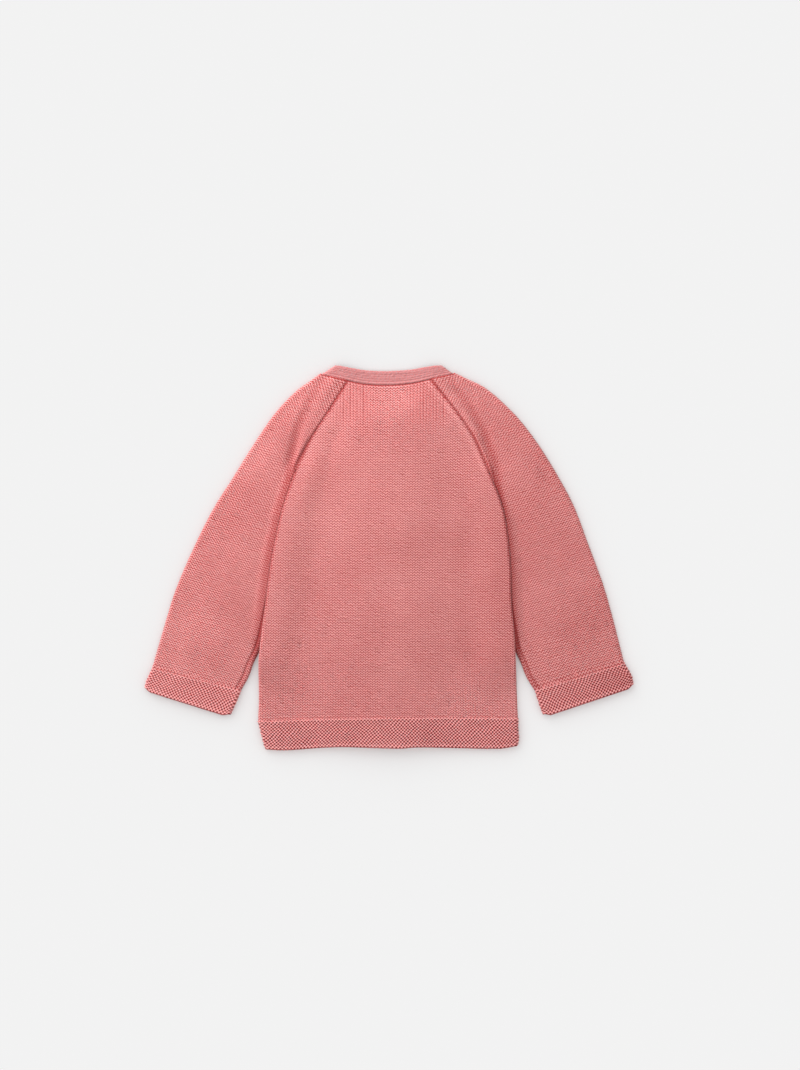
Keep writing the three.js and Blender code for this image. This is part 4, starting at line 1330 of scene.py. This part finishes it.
# %% Knit materials
COTTON = {
    "Subsurface Weight": 0.3,
    "Subsurface Radius": (1.0, 0.3, 0.25),
    "Subsurface Scale": 0.0015,
    "Roughness": 0.92,
    "Specular IOR Level": 0.2,
    "Sheen Weight": 0.25,
    "Sheen Roughness": 0.5,
    "Sheen Tint": (1.0, 0.75, 0.72, 1.0),
}
PAINTED_SHADE_SHARE = -0.7


def knit_material(name, top, shaded_colour, group, stitch_shade_and_tone, relief):
    material = bpy.data.materials.new(name)
    material.use_nodes = True
    w = Wiring(material.node_tree)
    surface = material.node_tree.nodes["Principled BSDF"]
    stitches = w.node("ShaderNodeUVMap", {"uv_map": "stitches"}).outputs["UV"]
    place = w.node("ShaderNodeTexCoord").outputs["Object"]
    pattern = w.node("ShaderNodeGroup", {"node_tree": group}, Stitches=stitches).outputs["Height"]
    yarn = w.node("ShaderNodeGroup", {"node_tree": yarn_group}, Place=place)
    toned = w.math("MULTIPLY_ADD", w.math("SUBTRACT", yarn.outputs["Tone"], 0.5), 0.5, pattern)
    depth = w.node("ShaderNodeAttribute", {"attribute_name": "depth"}).outputs["Fac"]
    # The share of the pale top colour: painted shade makes it low between the stitches and where depth is
    # high.
    share = w.math("MULTIPLY_ADD", toned, stitch_shade_and_tone, 1.0 - stitch_shade_and_tone)
    share = w.math("MULTIPLY_ADD", depth, PAINTED_SHADE_SHARE, share)
    w.feed(surface.inputs["Base Color"], w.blend(share, (*shaded_colour, 1.0), (*top, 1.0)))
    height = w.math("MULTIPLY_ADD", yarn.outputs["Fibres"], 0.25, w.math("MULTIPLY", pattern, relief))
    bump = w.node("ShaderNodeBump", None, Height=height, Strength=0.5, Distance=0.0004)
    w.feed(surface.inputs["Normal"], bump.outputs["Normal"])
    for title, value in COTTON.items():
        surface.inputs[title].default_value = value
    return material


# Each look: the pale top colour, the colour of the painted shade, the stitch group, the strength of the
# painted stitch shade and yarn tone, and the bump relief.
KNITS = {
    "coral stocking stitch": ((0.795, 0.36, 0.35), (0.29, 0.028, 0.028), stocking_group, 1.12, 0.4),
    "coral garter stitch": ((0.84, 0.36, 0.35), (0.205, 0.008, 0.010), garter_group, 1.45, 0.5),
    "coral fine knit": ((0.485, 0.197, 0.197), (0.26, 0.06, 0.06), stocking_group, 0.4, 0.5),
}
jersey, garter, smooth_knit = [knit_material(name, *look) for name, look in KNITS.items()]


# %% Button material
BUTTON_DARK = (0.72, 0.46, 0.4, 1.0)
BUTTON_PALE = (0.9, 0.68, 0.62, 1.0)


def button_material():
    material = bpy.data.materials.new("pale pink button")
    material.use_nodes = True
    w = Wiring(material.node_tree)
    surface = material.node_tree.nodes["Principled BSDF"]
    place = w.node("ShaderNodeTexCoord").outputs["Object"]
    cloud = w.noise(place, 260.0, 3.0)
    w.feed(surface.inputs["Base Color"], w.blend(cloud, BUTTON_DARK, BUTTON_PALE))
    rough = w.math("MULTIPLY_ADD", w.noise(place, 900.0), 0.2, 0.25)
    w.feed(surface.inputs["Roughness"], rough)
    return material


button_look = button_material()


# %% [markdown]
# ## Tell the frame what each piece is
#
# Every piece rides on the one body, stands for its own CAD solid and takes its finish from a slot.

pieces = []


def declare(piece, node, material):
    pieces.append(piece)
    piece.data.materials.clear()
    piece.data.materials.append(material)
    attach(piece, "root")
    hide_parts(node)


declare(back, "back", jersey)
declare(front_left, "front_left", jersey)
declare(front_right, "front_right", jersey)
declare(sleeve_left, "sleeve_left", jersey)
declare(sleeve_right, "sleeve_right", jersey)
declare(cuff_left, "cuff_left", garter)
declare(cuff_right, "cuff_right", garter)
declare(hem_back, "hem_back", garter)
declare(hem_front_left, "hem_front_left", garter)
declare(hem_front_right, "hem_front_right", garter)
declare(neckband, "neckband", smooth_knit)
declare(buttonhole_band, "buttonhole_band", smooth_knit)
declare(button_band, "button_band", smooth_knit)
for k, button in enumerate(buttons):
    declare(button, f"button_{k + 1}", button_look)

# %% [markdown]
# ## Floor, light and camera
#
# The camera looks straight down. The photo's page is 640 mm by 856 mm at the floor. A broad soft
# sun from the top left gives the faint shadow at the right and below, and an even sky fills it.
# A large window near the top left models the cloth and makes it a little paler there. It is linked
# to the cloth alone, so that the floor stays even. The floor glows a little, which keeps its white
# as pale as the photo's, and it is far wider than the page, so that no low view shows its edge.

# %% Floor
FLOOR_SIZE = 40.0
FLOOR_Z = -0.0001
FLOOR_GREY = (0.80, 0.80, 0.80, 1.0)
FLOOR_GLOW = 0.13
WHITE = (1.0, 1.0, 1.0, 1.0)
bpy.ops.mesh.primitive_plane_add(size=FLOOR_SIZE, location=(0.0, 0.0, FLOOR_Z))
floor = bpy.context.object
floor.name = "floor"
bpy.ops.object.transform_apply(location=True)
paper = bpy.data.materials.new("pale floor")
paper.use_nodes = True
paper_surface = paper.node_tree.nodes["Principled BSDF"]
paper_surface.inputs["Base Color"].default_value = FLOOR_GREY
paper_surface.inputs["Emission Color"].default_value = WHITE
paper_surface.inputs["Emission Strength"].default_value = FLOOR_GLOW
paper_surface.inputs["Roughness"].default_value = 1.0
paper_surface.inputs["Specular IOR Level"].default_value = 0.0
floor.data.materials.append(paper)

# %% Light
SUN_STRENGTH = 0.6
SUN_SPREAD = 55.0
SUN_DIRECTION = (0.6, -0.8, -0.75)
SKY_STRENGTH = 0.835
WINDOW_POWER = 7.6
WINDOW_SIZE = 0.3
WINDOW_PLACE = (-0.42, 0.62, 0.42)

sun_data = bpy.data.lights.new("soft sun", "SUN")
sun_data.energy = SUN_STRENGTH
sun_data.angle = math.radians(SUN_SPREAD)
sun = bpy.data.objects.new("soft sun", sun_data)
bpy.context.scene.collection.objects.link(sun)
sun.rotation_euler = Vector(SUN_DIRECTION).to_track_quat("-Z", "Y").to_euler()

world = bpy.data.worlds.new("even sky")
bpy.context.scene.world = world
world.use_nodes = True
world.node_tree.nodes["Background"].inputs["Color"].default_value = WHITE
world.node_tree.nodes["Background"].inputs["Strength"].default_value = SKY_STRENGTH

window_data = bpy.data.lights.new("soft window", "AREA")
window_data.energy = WINDOW_POWER
window_data.size = WINDOW_SIZE
window = bpy.data.objects.new("soft window", window_data)
bpy.context.scene.collection.objects.link(window)
window.location = WINDOW_PLACE
window.rotation_euler = (-window.location).to_track_quat("-Z", "Y").to_euler()
lit = bpy.data.collections.new("cloth the window lights")
for piece in pieces:
    lit.objects.link(piece)
window.light_linking.receiver_collection = lit

# %% Camera
LENS = 84.1
CAMERA_PLACE = (0.0088, 0.018, 2.0)

camera_data = bpy.data.cameras.new("above")
camera_data.lens = LENS
camera_data.clip_end = 20.0
camera = bpy.data.objects.new("above", camera_data)
camera.location = CAMERA_PLACE
bpy.context.scene.collection.objects.link(camera)
bpy.context.scene.camera = camera
bpy.context.scene.view_settings.view_transform = "Standard"
